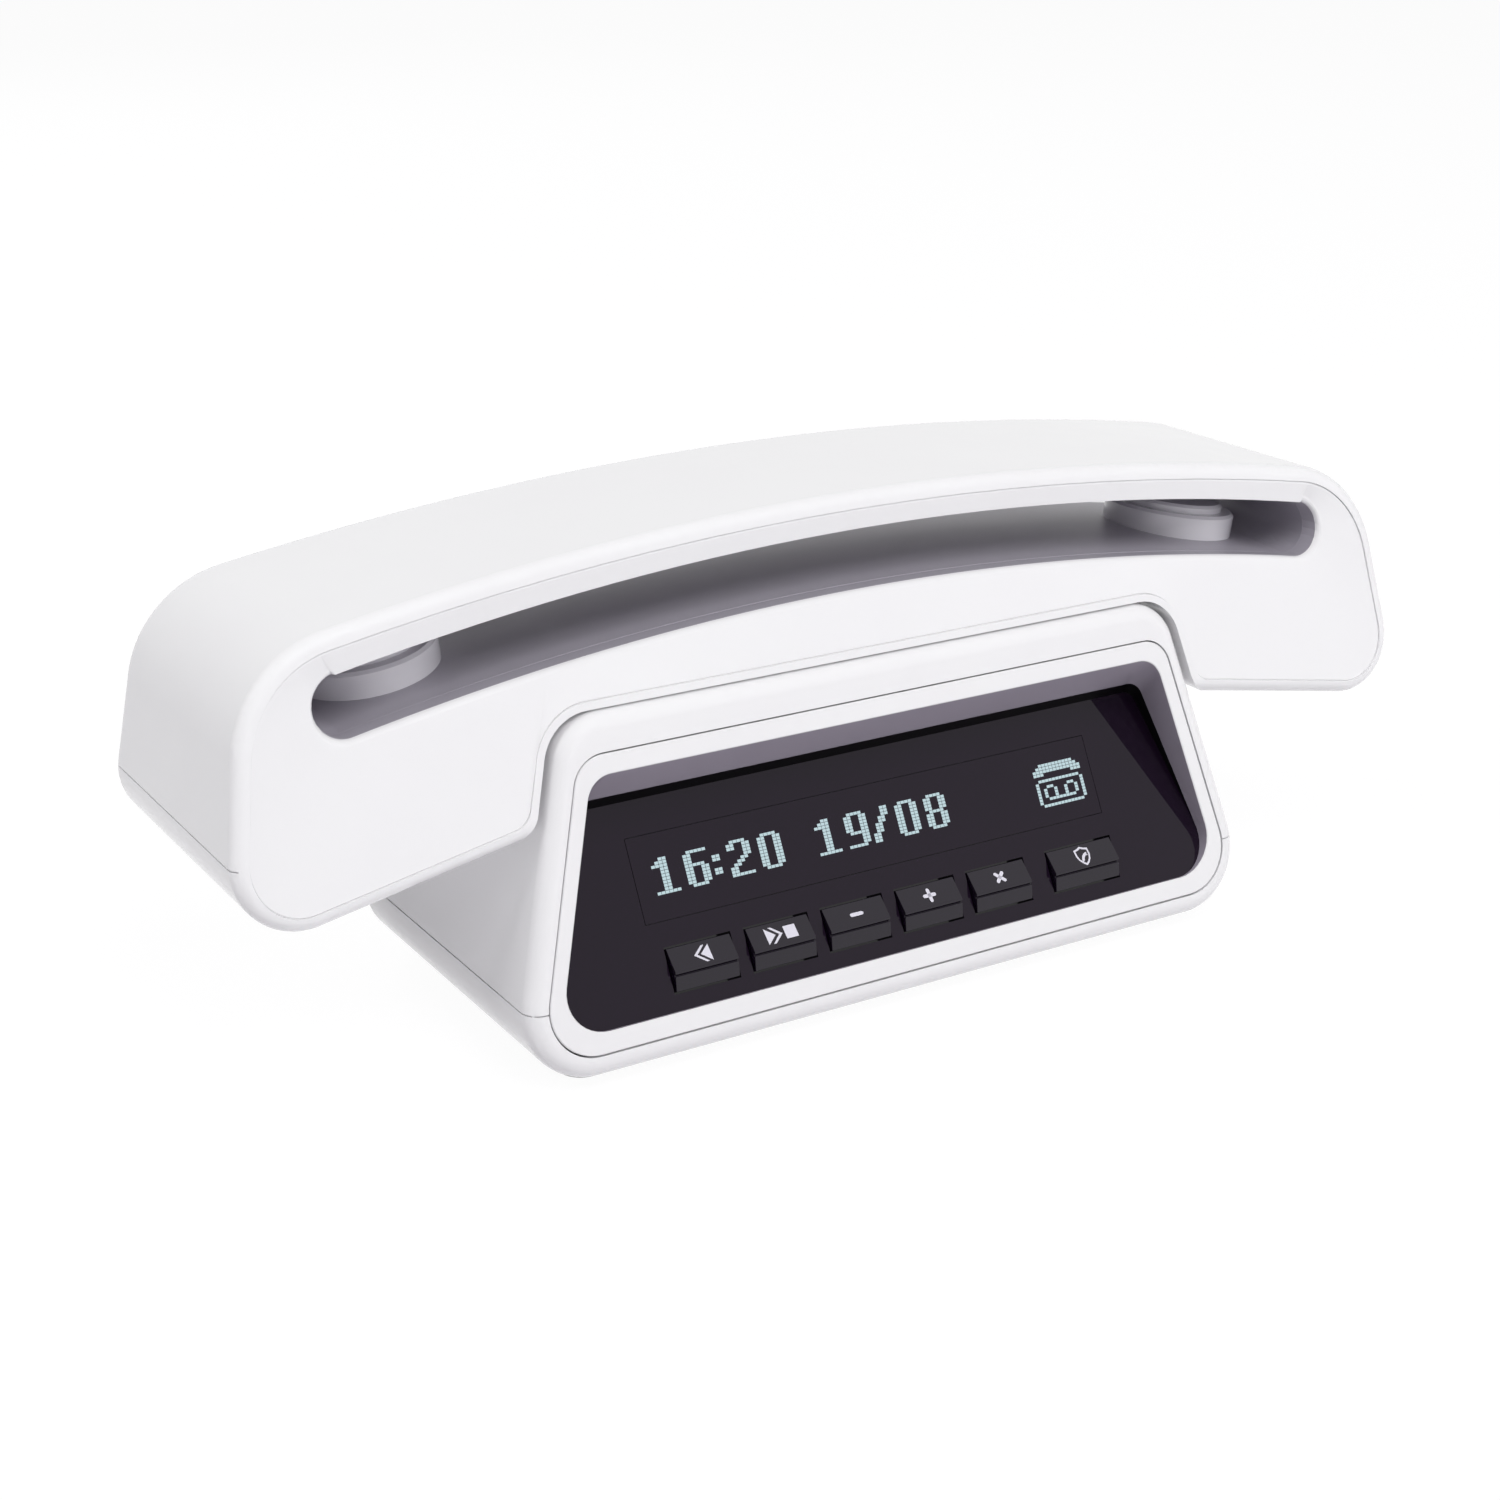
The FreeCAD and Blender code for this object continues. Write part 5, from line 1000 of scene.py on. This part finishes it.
@dataclass
class BaseKey:
    """A wedge key of the base: roof-shaped, grooved in front and printed on top."""

    node: str
    symbol: Symbol
    groove_drop: float = 0.4 * MM
    groove_width: float = 0.3 * MM
    groove_depth: float = 0.35 * MM
    edge: float = 0.22 * MM
    print_height: float = 0.02 * MM
    print_drop: float = 0.15 * MM
    sharp_from: float = 20.0
    crease: float = 24.0

    def build(self, ridge_at: float, head_height: float, toe_height: float,
              flange: float) -> None:
        """Model the key in the panel's frame and put it in its place.

        Args:
            ridge_at: The ridge's distance up the panel, in metres.
            head_height: Height of the upper edge above the panel.
            toe_height: Height of the lower edge above the panel.
            flange: How far the flange stands out all round.
        """
        low, high = extremes(frame["nodes"][self.node], PANEL.place())
        left, right = low.x + flange, high.x - flange
        toe, head = low.y + flange, high.y - flange
        top = high.z
        bottom = low.z
        slope = (top - toe_height) / (ridge_at - toe)
        first = ridge_at - self.groove_drop
        second = first - self.groove_width
        profile = [(head, bottom), (head, head_height), (ridge_at, top),
                   (first, top - slope * (ridge_at - first)),
                   (first, top - slope * (ridge_at - first) - self.groove_depth),
                   (second, top - slope * (ridge_at - second) - self.groove_depth),
                   (second, top - slope * (ridge_at - second)),
                   (toe, toe_height), (toe, bottom)]
        bpy.ops.object.select_all(action="DESELECT")
        bpy.ops.mesh.primitive_circle_add(vertices=len(profile), radius=MM, fill_type="NGON")
        cap = name_new(self.node + "_cap")
        for vertex, (up, out) in zip(cap.data.vertices, profile):
            vertex.co = (left, up, out)
        with editing(cap, "SELECT"):
            bpy.ops.mesh.extrude_region_move(
                TRANSFORM_OT_translate={"value": (right - left, 0.0, 0.0)})
        close_up(cap)
        round_over(cap, self.edge, 3, self.sharp_from)
        bpy.ops.object.select_all(action="DESELECT")
        bpy.ops.mesh.primitive_cube_add(size=1.0)
        rim = name_new(self.node + "_rim")
        rim.scale = (high.x - low.x, high.y - low.y, flange)
        rim.location = ((low.x + high.x) / 2, (low.y + high.y) / 2, bottom + flange / 2)
        settle(rim)
        round_over(rim, flange / 6, 2)
        piece = join(self.node + "_moulding", [cap, rim])
        shade(piece, self.crease)
        lay_in(piece, PANEL.place())
        dress(piece, KEY_ABS)
        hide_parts(self.node)
        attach(piece, self.node)
        self.print_symbol((left + right) / 2, ridge_at, head, top, head_height)
        LOG.info("built %s", self.node)

    def print_symbol(self, middle: float, ridge_at: float, head: float, top: float,
                     head_height: float) -> None:
        """Print the key's sign on its upper face.

        Args:
            middle: x of the key's middle, in metres.
            ridge_at: The ridge's distance up the panel.
            head: The upper edge's distance up the panel.
            top: Height of the ridge above the panel.
            head_height: Height of the upper edge above the panel.
        """
        pitch = math.atan2(top - head_height, head - ridge_at)
        reach = math.hypot(top - head_height, head - ridge_at) / 2
        plates = []
        for index, loops in enumerate(SymbolPrint().outlines(self.symbol)):
            plates.append(outline_plate("%s_sign_%d" % (self.node, index), loops,
                                        self.print_height))
        sign = join(self.node + "_sign", plates)
        tilt = Matrix.Rotation(-pitch, 4, "X")
        spot = Vector((middle, ridge_at + reach * math.cos(pitch) - self.print_drop,
                       top - (reach - self.print_drop) * math.sin(pitch)))
        lay_in(sign, PANEL.place() @ Matrix.Translation(spot) @ tilt)
        dress(sign, WHITE_INK)
        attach(sign, self.node)


BASE_KEYS = {"key_rewind": Symbol.REWIND, "key_play_stop": Symbol.PLAY_STOP,
             "key_volume_down": Symbol.MINUS, "key_volume_up": Symbol.PLUS,
             "key_delete": Symbol.CROSS, "key_call_screen": Symbol.SHIELD}
KEY_FLANGE = 0.8 * MM


@dataclass
class KeyRow:
    """The row of keys under the display."""

    ridge_at: float = 5.9 * MM
    head_height: float = 0.1 * MM
    toe_height: float = 0.3 * MM

    def build(self) -> None:
        """Build the keys from left to right."""
        for node, symbol in BASE_KEYS.items():
            BaseKey(node, symbol).build(self.ridge_at, self.head_height, self.toe_height,
                                        KEY_FLANGE)


# ---------------------------------------------------------------------------
# The handset's keypad
# ---------------------------------------------------------------------------

@dataclass
class Keypad:
    """The white keys under the handset, each with its printed sign."""

    type_size: float = 5.04 * MM
    curve_steps: int = 4
    ink: float = 0.03 * MM
    drawn_scale: float = 1.3
    key_end_turn: float = -45.0

    def typed(self, name: str, sign: str) -> bpy.types.Object:
        """Model a numeral or a sign of the telephone's dial as a thin closed plate.

        Args:
            name: The plate's name.
            sign: The character.

        Returns:
            The plate as a mesh object.
        """
        bpy.ops.object.select_all(action="DESELECT")
        bpy.ops.object.text_add()
        piece = name_new(name)
        piece.data.body = sign
        piece.data.size = self.type_size
        piece.data.extrude = self.ink
        piece.data.resolution_u = self.curve_steps
        pick_only(piece)
        bpy.ops.object.convert(target="MESH")
        close_up(piece)
        return piece

    def drawn(self, name: str, node: str) -> bpy.types.Object:
        """Model one of the four signs beside the dial: arrows, and a receiver up or down.

        Args:
            name: The plate's name.
            node: The key that carries the sign.

        Returns:
            The plate as a mesh object.
        """
        arrow, receiver = SymbolPrint().arrow_head(1.0), SymbolPrint().receiver()
        outlines = {"key_up": turned(arrow, 90.0), "key_down": turned(arrow, -90.0),
                    "key_talk": receiver, "key_end": turned(receiver, self.key_end_turn)}
        loop = [(x * self.drawn_scale, y * self.drawn_scale) for x, y in outlines[node]]
        return outline_plate(name, [loop], 2 * self.ink)

    def print_on(self, node: str, sign: bpy.types.Object) -> None:
        """Lay a sign on the middle of a key's face, upright towards the earpiece.

        Args:
            node: The key.
            sign: The sign's plate.
        """
        key_low, key_high = extremes(frame["nodes"][node], Matrix())
        sign_low, sign_high = extremes(sign, Matrix())
        spot = (key_low + key_high) / 2
        spot.z = key_low.z
        facing_down = Matrix(((0.0, -1.0, 0.0), (-1.0, 0.0, 0.0), (0.0, 0.0, -1.0))).to_4x4()
        centred = Matrix.Translation(-(sign_low + sign_high) / 2)
        lay_in(sign, Matrix.Translation(spot) @ facing_down @ centred)
        dress(sign, GREY_INK)
        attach(sign, node)

    def build(self) -> None:
        """Dress the keys in white and print their signs."""
        signs = {"key_" + digit: digit for digit in "0123456789"}
        signs.update({"key_star": "*", "key_hash": "#"})
        for node in list(signs) + ["key_up", "key_down", "key_talk", "key_end"]:
            dress(frame["nodes"][node], HANDSET_KEY_ABS)
            name = node + "_sign"
            sign = self.typed(name, signs[node]) if node in signs else self.drawn(name, node)
            self.print_on(node, sign)
        LOG.info("printed the keypad")


# ---------------------------------------------------------------------------
# The bezel with its hood, and the tray
# ---------------------------------------------------------------------------

@dataclass
class WindowHood:
    """The white bezel, its hood behind the window painted grey as shade, and the black display
    tray.
    """

    bezel: RoundedTrapezoid = front_outline(3.15 * MM, 6.0 * MM, 50.6 * MM, 8.0 * MM, 5.5 * MM)
    window: RoundedTrapezoid = front_outline(5.95 * MM, 9.5 * MM, 47.25 * MM, 6.5 * MM, 4.5 * MM)
    seam_gap: float = 0.25 * MM
    edge: float = 0.15 * MM
    front_wall: float = 2.6 * MM
    hood_wall: float = 1.2 * MM
    reach: float = 16.0 * MM
    head_slope: float = 0.682
    deep_radius: float = 1.0 * MM
    joint_start: float = 18.0 * MM
    joint_slope: float = 0.2
    tray_sink: float = 0.3 * MM
    panel_thickness: float = 2.4 * MM
    panel_height: float = 33.9 * MM
    panel_overlap: float = 0.8 * MM
    glass_play: float = 0.1 * MM
    key_play: float = 0.3 * MM
    # The hood's strips, painted grey as the shade inside the window's recess.
    painted_shade_strips: range = range(4, 6)
    crease: float = 30.0

    def front_ring(self, outline: RoundedTrapezoid, depth: float) -> list[Vector]:
        """Give an outline's ring at a depth behind the front face."""
        return [Vector((x, y, -depth)) for x, y in outline.points()]

    def wall_ring(self, grow: float, height: Callable[[Vector], float]) -> list[Vector]:
        """Give the ring where the hood's wall meets a surface over the panel.

        Args:
            grow: How far the ring's wall stands outside the window's outline.
            height: Gives a point's height over the surface, in the panel's frame.

        Returns:
            The ring in the front's frame.
        """
        to_panel = PANEL.place().inverted() @ FRONT.place()
        deep = self.window.lowered(self.head_slope * self.reach, self.deep_radius).grown(grow)
        ring = []
        for start, end in zip(self.front_ring(self.window.grown(grow), 0.0),
                              self.front_ring(deep, self.reach)):
            over, under = height(to_panel @ start), height(to_panel @ end)
            ring.append(start.lerp(end, over / (over - under)))
        return ring

    def over_joint(self, point: Vector) -> float:
        """Give a point's height over the joint of hood and tray."""
        return point.z - self.joint_slope * max(0.0, point.y - self.joint_start)

    def over_tray(self, point: Vector) -> float:
        """Give a point's height over the sunk foot of the tray's wall."""
        return point.z + self.tray_sink

    def build_bezel(self) -> None:
        """Build the bezel and its hood as one moulding, the hood painted grey as the shade in the
        window's recess.
        """
        outer = self.bezel.grown(-self.seam_gap)
        rings = [self.front_ring(outer, self.front_wall), self.front_ring(outer, self.edge),
                 self.front_ring(outer.grown(-self.edge), 0.0),
                 self.front_ring(self.window.grown(self.edge), 0.0),
                 self.front_ring(self.window, self.edge),
                 self.wall_ring(0.0, self.over_joint),
                 self.wall_ring(self.hood_wall, self.over_joint),
                 self.front_ring(self.window.grown(self.hood_wall), self.front_wall)]
        piece = ring_skin("front_bezel_moulding", rings)
        dress(piece, WHITE_ABS)
        # Paint the shade in the window's recess onto the hood's strips as a grey finish.
        paint_strips(piece, len(rings[0]), self.painted_shade_strips, HOOD_PAINTED_SHADE)
        shade(piece, self.crease)
        lay_in(piece, FRONT.place())
        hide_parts("front_bezel")
        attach(piece, "base")

    def build_tray(self) -> None:
        """Build the tray's black wall and the glossy panel with its openings."""
        rings = [self.wall_ring(0.0, self.over_joint), self.wall_ring(0.0, self.over_tray),
                 self.wall_ring(self.hood_wall, self.over_tray),
                 self.wall_ring(self.hood_wall, self.over_joint)]
        wall = ring_skin("display_tray_wall", rings)
        lay_in(wall, FRONT.place())
        dress(wall, TRAY_BLACK)
        shade(wall)
        lean = math.radians(PANEL.lean - FRONT.lean)
        slope = ((self.window.half_low - self.window.half_high) / self.window.high
                 * math.cos(lean))
        panel = RoundedTrapezoid(self.window.half_low, self.window.half_low
                                 - slope * self.panel_height, 0.0, self.panel_height,
                                 self.window.foot_radius, self.deep_radius)
        loops = [panel.grown(self.panel_overlap).points()]
        for node in BASE_KEYS:
            low, high = extremes(frame["nodes"][node], PANEL.place())
            frill = KEY_FLANGE - self.key_play
            loops.append(box_points(low.x + frill, high.x - frill, low.y + frill, high.y - frill))
        low, high = extremes(frame["nodes"]["display_glass"], PANEL.place())
        loops.append(box_points(low.x - self.glass_play, high.x + self.glass_play,
                                low.y - self.glass_play, high.y + self.glass_play))
        plate = outline_plate("display_panel", loops, self.panel_thickness)
        lay_in(plate, PANEL.place() @ Matrix.Translation((0.0, 0.0, -self.panel_thickness)))
        dress(plate, BLACK_PMMA)
        shade(plate)
        piece = join("display_tray_moulding", [wall, plate])
        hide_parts("display_tray")
        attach(piece, "base")

    def build(self) -> None:
        """Build the bezel and the tray."""
        self.build_bezel()
        self.build_tray()
        LOG.info("built front_bezel and display_tray")


# ---------------------------------------------------------------------------
# The handset's fascias
# ---------------------------------------------------------------------------

Corner = tuple[Vector, float]


@dataclass(frozen=True)
class HandsetForm:
    """The handset seen from the front: the right half of its fascias' rim and of its slot."""

    crown_height: float = 81.6 * MM
    arch_radius: float = 550.0 * MM
    end: Side = Side((109.3 * MM, 43.73 * MM), 170.5)
    underside: Side = Side((95.0 * MM, 33.7 * MM), 279.9)
    inner_side: Side = Side((BASE_HALF_WIDTH + 1.4 * MM, BASE_WIDTH_AT), -SIDE_LEAN)
    saddle: Side = Side((0.0, 56.5 * MM), 270.0)
    head_radius: float = 18.8 * MM
    toe_radius: float = 10.0 * MM
    heel_radius: float = 6.0 * MM
    saddle_radius: float = 8.0 * MM
    wall: float = 2.4 * MM
    under_lip: float = 1.2 * MM
    slot_crown: float = 75.65 * MM
    slot_arch: float = 515.0 * MM
    slot_height: float = 9.3 * MM
    slot_half: float = 94.5 * MM
    folds: tuple[float, ...] = (70.9 * MM, 64.4 * MM, 57.9 * MM, 51.3 * MM)
    end_step: float = 60.0

    def rim(self) -> list[Corner]:
        """Give the rim's corners, each with the radius of the stretch that follows it."""
        end, underside = self.end.moved(self.wall), self.underside.moved(self.wall)
        inner_side = self.inner_side.moved(self.under_lip)
        saddle = self.saddle.moved(self.under_lip)
        arch_middle = Vector((0.0, self.crown_height - self.arch_radius))
        arch, head = self.arch_radius - self.wall, self.head_radius - self.wall
        start = Vector(end.moved(head).through) - arch_middle
        way = heading(end.bearing)
        along = start.dot(way)
        back = along + math.sqrt(along ** 2 - start.length_squared + (arch - head) ** 2)
        to_head = start - way * back
        radii = [head, self.toe_radius - self.wall, self.heel_radius - self.wall,
                 -(self.saddle_radius + self.under_lip)]
        ends = [(arch_middle + to_head.normalized() * arch,
                 arch_middle + to_head - end.inwards() * head),
                end.rounding(underside, radii[1]), underside.rounding(inner_side, radii[2]),
                inner_side.rounding(saddle, radii[3])]
        corners = [(Vector((0.0, self.crown_height - self.wall)), arch)]
        for (first, last), radius in zip(ends, radii):
            corners += [(first, radius), (last, 0.0)]
        return corners + [(Vector((0.0, saddle.through[1])), 0.0)]

    def slot(self) -> list[Corner]:
        """Give the slot's corners, one for each of the rim's, with folds under its lower edge."""
        arch_middle = Vector((0.0, self.slot_crown - self.slot_arch))
        end_radius, low_arch = self.slot_height / 2, self.slot_arch - self.slot_height
        reach = self.slot_arch - end_radius
        swing = math.degrees(math.asin((self.slot_half - end_radius) / reach))
        middle = arch_middle + heading(swing) * reach
        spots = [middle + heading(swing + self.end_step * step) * end_radius for step in range(4)]
        for x in self.folds:
            spots.append(arch_middle + Vector((x, math.sqrt(low_arch ** 2 - x ** 2))))
        radii = [end_radius] * 3 + [-low_arch] * (len(self.folds) + 1)
        return ([(Vector((0.0, self.slot_crown)), self.slot_arch)] + list(zip(spots, radii))
                + [(arch_middle + Vector((0.0, low_arch)), 0.0)])


@dataclass
class Fascia:
    """A closing plate of the handset, with facets that fall to the grip slot's soft lip."""

    node: str
    lean: float
    plane_at_table: float
    inwards: float
    sunk: float = 0.25 * MM
    thickness: float = 4.4 * MM
    edge: float = 0.2 * MM
    flat_rim: float = 0.5 * MM
    dish: float = 1.0 * MM
    drift: float = 0.55 * MM
    lip: float = 1.3 * MM
    crisp_lip: float = 0.25 * MM
    lip_steps: int = 5
    crease: float = 12.0
    steps: tuple[int, ...] = (16, 14, 4, 16, 6, 10, 4, 12, 12)
    # The strips that turn into the slot, painted grey as the shade inside the grip's tunnel.
    painted_shade_strips: range = range(8, 10)
    form: HandsetForm = HandsetForm()

    def outline(self, corners: Sequence[Corner]) -> list[Vector]:
        """Give a closed outline, clockwise from the top.

        Args:
            corners: The right half's corners.

        Returns:
            The outline's points, in metres.
        """
        right: list[Point] = []
        for (here, radius), (following, _), steps in zip(corners, corners[1:], self.steps):
            right += stretch(here, following, radius, steps)
        mirrored = [(-x, y) for x, y in right[:0:-1]]
        return [Vector(spot) for spot in right + [corners[-1][0]] + mirrored]

    def point(self, spot: Vector, depth: float) -> Vector:
        """Give the place of a spot of the outline at a depth behind the fascia's face.

        Args:
            spot: The spot, seen from the front.
            depth: How far it lies behind the face, square to it.

        Returns:
            The place in the telephone's frame.
        """
        lean = math.radians(self.lean)
        back = spot.y * math.tan(lean) + (depth + self.sunk) / math.cos(lean)
        return Vector((spot.x, self.plane_at_table + self.inwards * back, spot.y))

    def build(self) -> None:
        """Build the fascia from rings between its rim and the slot."""
        rim, mouth = self.outline(self.form.rim()), self.outline(self.form.slot())
        drift = Vector((self.inwards * self.drift, 0.0))
        brink = [spot + drift for spot in mouth]
        ways = [(outer - inner).normalized() for outer, inner in zip(rim, brink)]
        upper, count = self.steps[0], len(rim)
        lips = [self.crisp_lip if index <= upper or index >= count - upper else self.lip
                for index in range(count)]
        rings = [[self.point(spot, self.thickness) for spot in rim],
                 [self.point(spot, self.edge) for spot in rim],
                 [self.point(spot - way * self.edge, 0.0) for spot, way in zip(rim, ways)],
                 [self.point(spot - way * self.flat_rim, 0.0) for spot, way in zip(rim, ways)]]
        for step in range(self.lip_steps + 1):
            turn = math.pi / 2 * step / self.lip_steps
            out, down = 1.0 - math.sin(turn), 1.0 - math.cos(turn)
            rings.append([self.point(spot + way * lip * out, self.dish + lip * down)
                          for spot, way, lip in zip(brink, ways, lips)])
        rings.append([self.point(spot, self.thickness) for spot in mouth])
        piece = ring_skin(self.node + "_moulding", rings)
        dress(piece, WHITE_ABS)
        # Paint the shade inside the slot onto the lip's inner strips as a grey finish.
        paint_strips(piece, count, self.painted_shade_strips, TUNNEL_PAINTED_SHADE)
        shade(piece, self.crease)
        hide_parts(self.node)
        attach(piece, "handset")
        LOG.info("built %s", self.node)


# ---------------------------------------------------------------------------
# The mouldings
# ---------------------------------------------------------------------------

@dataclass
class Mouldings:
    """The white shells and the grip's pieces, knitted and shaded as polished mouldings."""

    crease: float = 30.0

    def build(self) -> None:
        """Build a moulding for each shell."""
        shells = (("base_upper_shell", "base", WHITE_ABS), ("base_lower_shell", "base", WHITE_ABS),
                  ("handset_upper_shell", "handset", WHITE_ABS),
                  ("handset_lower_shell", "handset", WHITE_ABS),
                  # The grip's liner is white plastic, painted grey as the shade inside the tunnel.
                  ("grip_liner", "handset", TUNNEL_PAINTED_SHADE),
                  ("earpiece_capsule", "handset", CAPSULE_ABS),
                  ("microphone_capsule", "handset", CAPSULE_ABS))
        for node, body, finish in shells:
            piece = moulded_copy(node, node + "_moulding", self.crease)
            dress(piece, finish)
            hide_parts(node)
            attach(piece, body)
            LOG.info("built %s", node)


# ---------------------------------------------------------------------------
# The studio
# ---------------------------------------------------------------------------

@dataclass(frozen=True)
class Softbox:
    """A square studio lamp: where it hangs, its side in metres and its power in watts."""

    name: str
    spot: tuple[float, float, float]
    side: float
    power: float

    def hang(self, target: Vector) -> None:
        """Hang the lamp so that it points at a target and no gloss mirrors its edge.

        Args:
            target: The place that it points at.
        """
        light = bpy.data.lights.new(self.name, "AREA")
        light.shape = "SQUARE"
        light.size = self.side
        light.energy = self.power
        lamp = bpy.data.objects.new(self.name, light)
        lamp.location = self.spot
        aim = target - lamp.location
        lamp.rotation_euler = aim.to_track_quat("-Z", "Y").to_euler()
        lamp.visible_glossy = False
        bpy.context.scene.collection.objects.link(lamp)


def seen_by_eye(tree: bpy.types.NodeTree) -> bpy.types.NodeSocket:
    """Tell camera, glossy and transmission rays from those that only carry light.

    Args:
        tree: The tree that needs to tell.

    Returns:
        A socket that is 1 for such a ray and 0 for the others.
    """
    path = add_node(tree, "ShaderNodeLightPath")
    seen = add_node(tree, "ShaderNodeMath", {"operation": "ADD", "use_clamp": True},
                    {0: path.outputs["Is Camera Ray"], 1: path.outputs["Is Glossy Ray"]})
    seen_through = add_node(tree, "ShaderNodeMath", {"operation": "ADD", "use_clamp": True},
                            {0: seen.outputs[0], 1: path.outputs["Is Transmission Ray"]})
    return seen_through.outputs[0]


@dataclass
class Studio:
    """A pale floor, soft lamps, a white surround and the camera."""

    floor_size: float = 6.0
    floor_colour: str = "#DDDBDF"
    floor_glow: float = 1.06
    glow_share: float = 0.9
    sky: str = "#F1EFF5"
    sky_strength: float = 0.1
    target: tuple[float, float, float] = (0.0, 0.0, 45.0 * MM)
    camera_place: tuple[float, float, float] = (-212.40 * MM, -329.15 * MM, 179.66 * MM)
    camera_tilt: float = 69.534
    camera_pan: float = -31.380
    focal_length: float = 59.68
    sensor_width: float = 36.0
    clip_start: float = 0.01
    lamps: tuple[Softbox, ...] = (
        Softbox("front_softbox", (0.0, -1.0, 1.35), 0.9, 14.0),
        Softbox("low_softbox", (0.1, -1.35, 0.3), 0.8, 3.8),
        Softbox("left_softbox", (-1.0, 0.1, 1.2), 0.9, 9.0),
        Softbox("right_softbox", (1.15, -0.85, 0.3), 0.6, 3.5),
        Softbox("back_softbox", (0.1, 1.3, 0.9), 0.9, 4.5))

    def floor(self) -> None:
        """Lay the floor, which shows white to the camera and keeps the shadow."""
        bpy.ops.object.select_all(action="DESELECT")
        bpy.ops.mesh.primitive_plane_add(size=self.floor_size, location=(0.0, 0.0, 0.0))
        floor = name_new("studio_floor")
        settle(floor)
        material = bpy.data.materials.new("white_paper_floor")
        material.use_nodes = True
        tree = material.node_tree
        tree.nodes.clear()
        paper = add_node(tree, "ShaderNodeBsdfDiffuse", {"Color": linear(self.floor_colour)})
        glow = add_node(tree, "ShaderNodeEmission", {"Color": (1.0, 1.0, 1.0, 1.0),
                                                     "Strength": self.floor_glow})
        part = add_node(tree, "ShaderNodeMath", {"operation": "MULTIPLY"},
                        {0: seen_by_eye(tree)})
        part.inputs[1].default_value = self.glow_share
        blend = add_node(tree, "ShaderNodeMixShader", None,
                         {0: part.outputs[0], 1: paper.outputs[0], 2: glow.outputs[0]})
        add_node(tree, "ShaderNodeOutputMaterial", None, {"Surface": blend.outputs[0]})
        floor.data.materials.append(material)

    def surround(self) -> None:
        """Set the world: white to look at, and a soft sky for the light on the telephone."""
        world = bpy.data.worlds.new("studio_surround")
        bpy.context.scene.world = world
        world.use_nodes = True
        tree = world.node_tree
        tree.nodes.clear()
        sky = add_node(tree, "ShaderNodeBackground",
                       {"Color": linear(self.sky), "Strength": self.sky_strength})
        white = add_node(tree, "ShaderNodeBackground",
                         {"Color": (1.0, 1.0, 1.0, 1.0), "Strength": 1.0})
        blend = add_node(tree, "ShaderNodeMixShader", None,
                         {0: seen_by_eye(tree), 1: sky.outputs[0], 2: white.outputs[0]})
        add_node(tree, "ShaderNodeOutputWorld", None, {"Surface": blend.outputs[0]})

    def camera(self) -> None:
        """Set up the camera in front, to the left and a little above."""
        lens = bpy.data.cameras.new("studio_camera")
        lens.lens = self.focal_length
        lens.sensor_width = self.sensor_width
        lens.clip_start = self.clip_start
        camera = bpy.data.objects.new("studio_camera", lens)
        camera.location = self.camera_place
        camera.rotation_euler = (math.radians(self.camera_tilt), 0.0,
                                 math.radians(self.camera_pan))
        bpy.context.scene.collection.objects.link(camera)
        bpy.context.scene.camera = camera

    def build(self) -> None:
        """Set up the whole studio."""
        self.floor()
        self.surround()
        for softbox in self.lamps:
            softbox.hang(Vector(self.target))
        self.camera()
        bpy.context.scene.view_settings.view_transform = "Standard"


def main() -> None:
    """Build and dress the telephone, piece by piece, and light it."""
    logging.basicConfig(level=logging.INFO, format="%(name)s: %(message)s")
    dress_nodes()
    Mouldings().build()
    WindowHood().build()
    Fascia("handset_front_fascia", FRONT_LEAN, -32.62 * MM, 1.0).build()
    Fascia("handset_back_fascia", BACK_LEAN, 32.82 * MM, -1.0).build()
    Keypad().build()
    dress(frame["nodes"]["handset_display_window"], CLEAR_PMMA)
    DotDisplay().build()
    KeyRow().build()
    Studio().build()


if __name__ == "__main__":
    main()
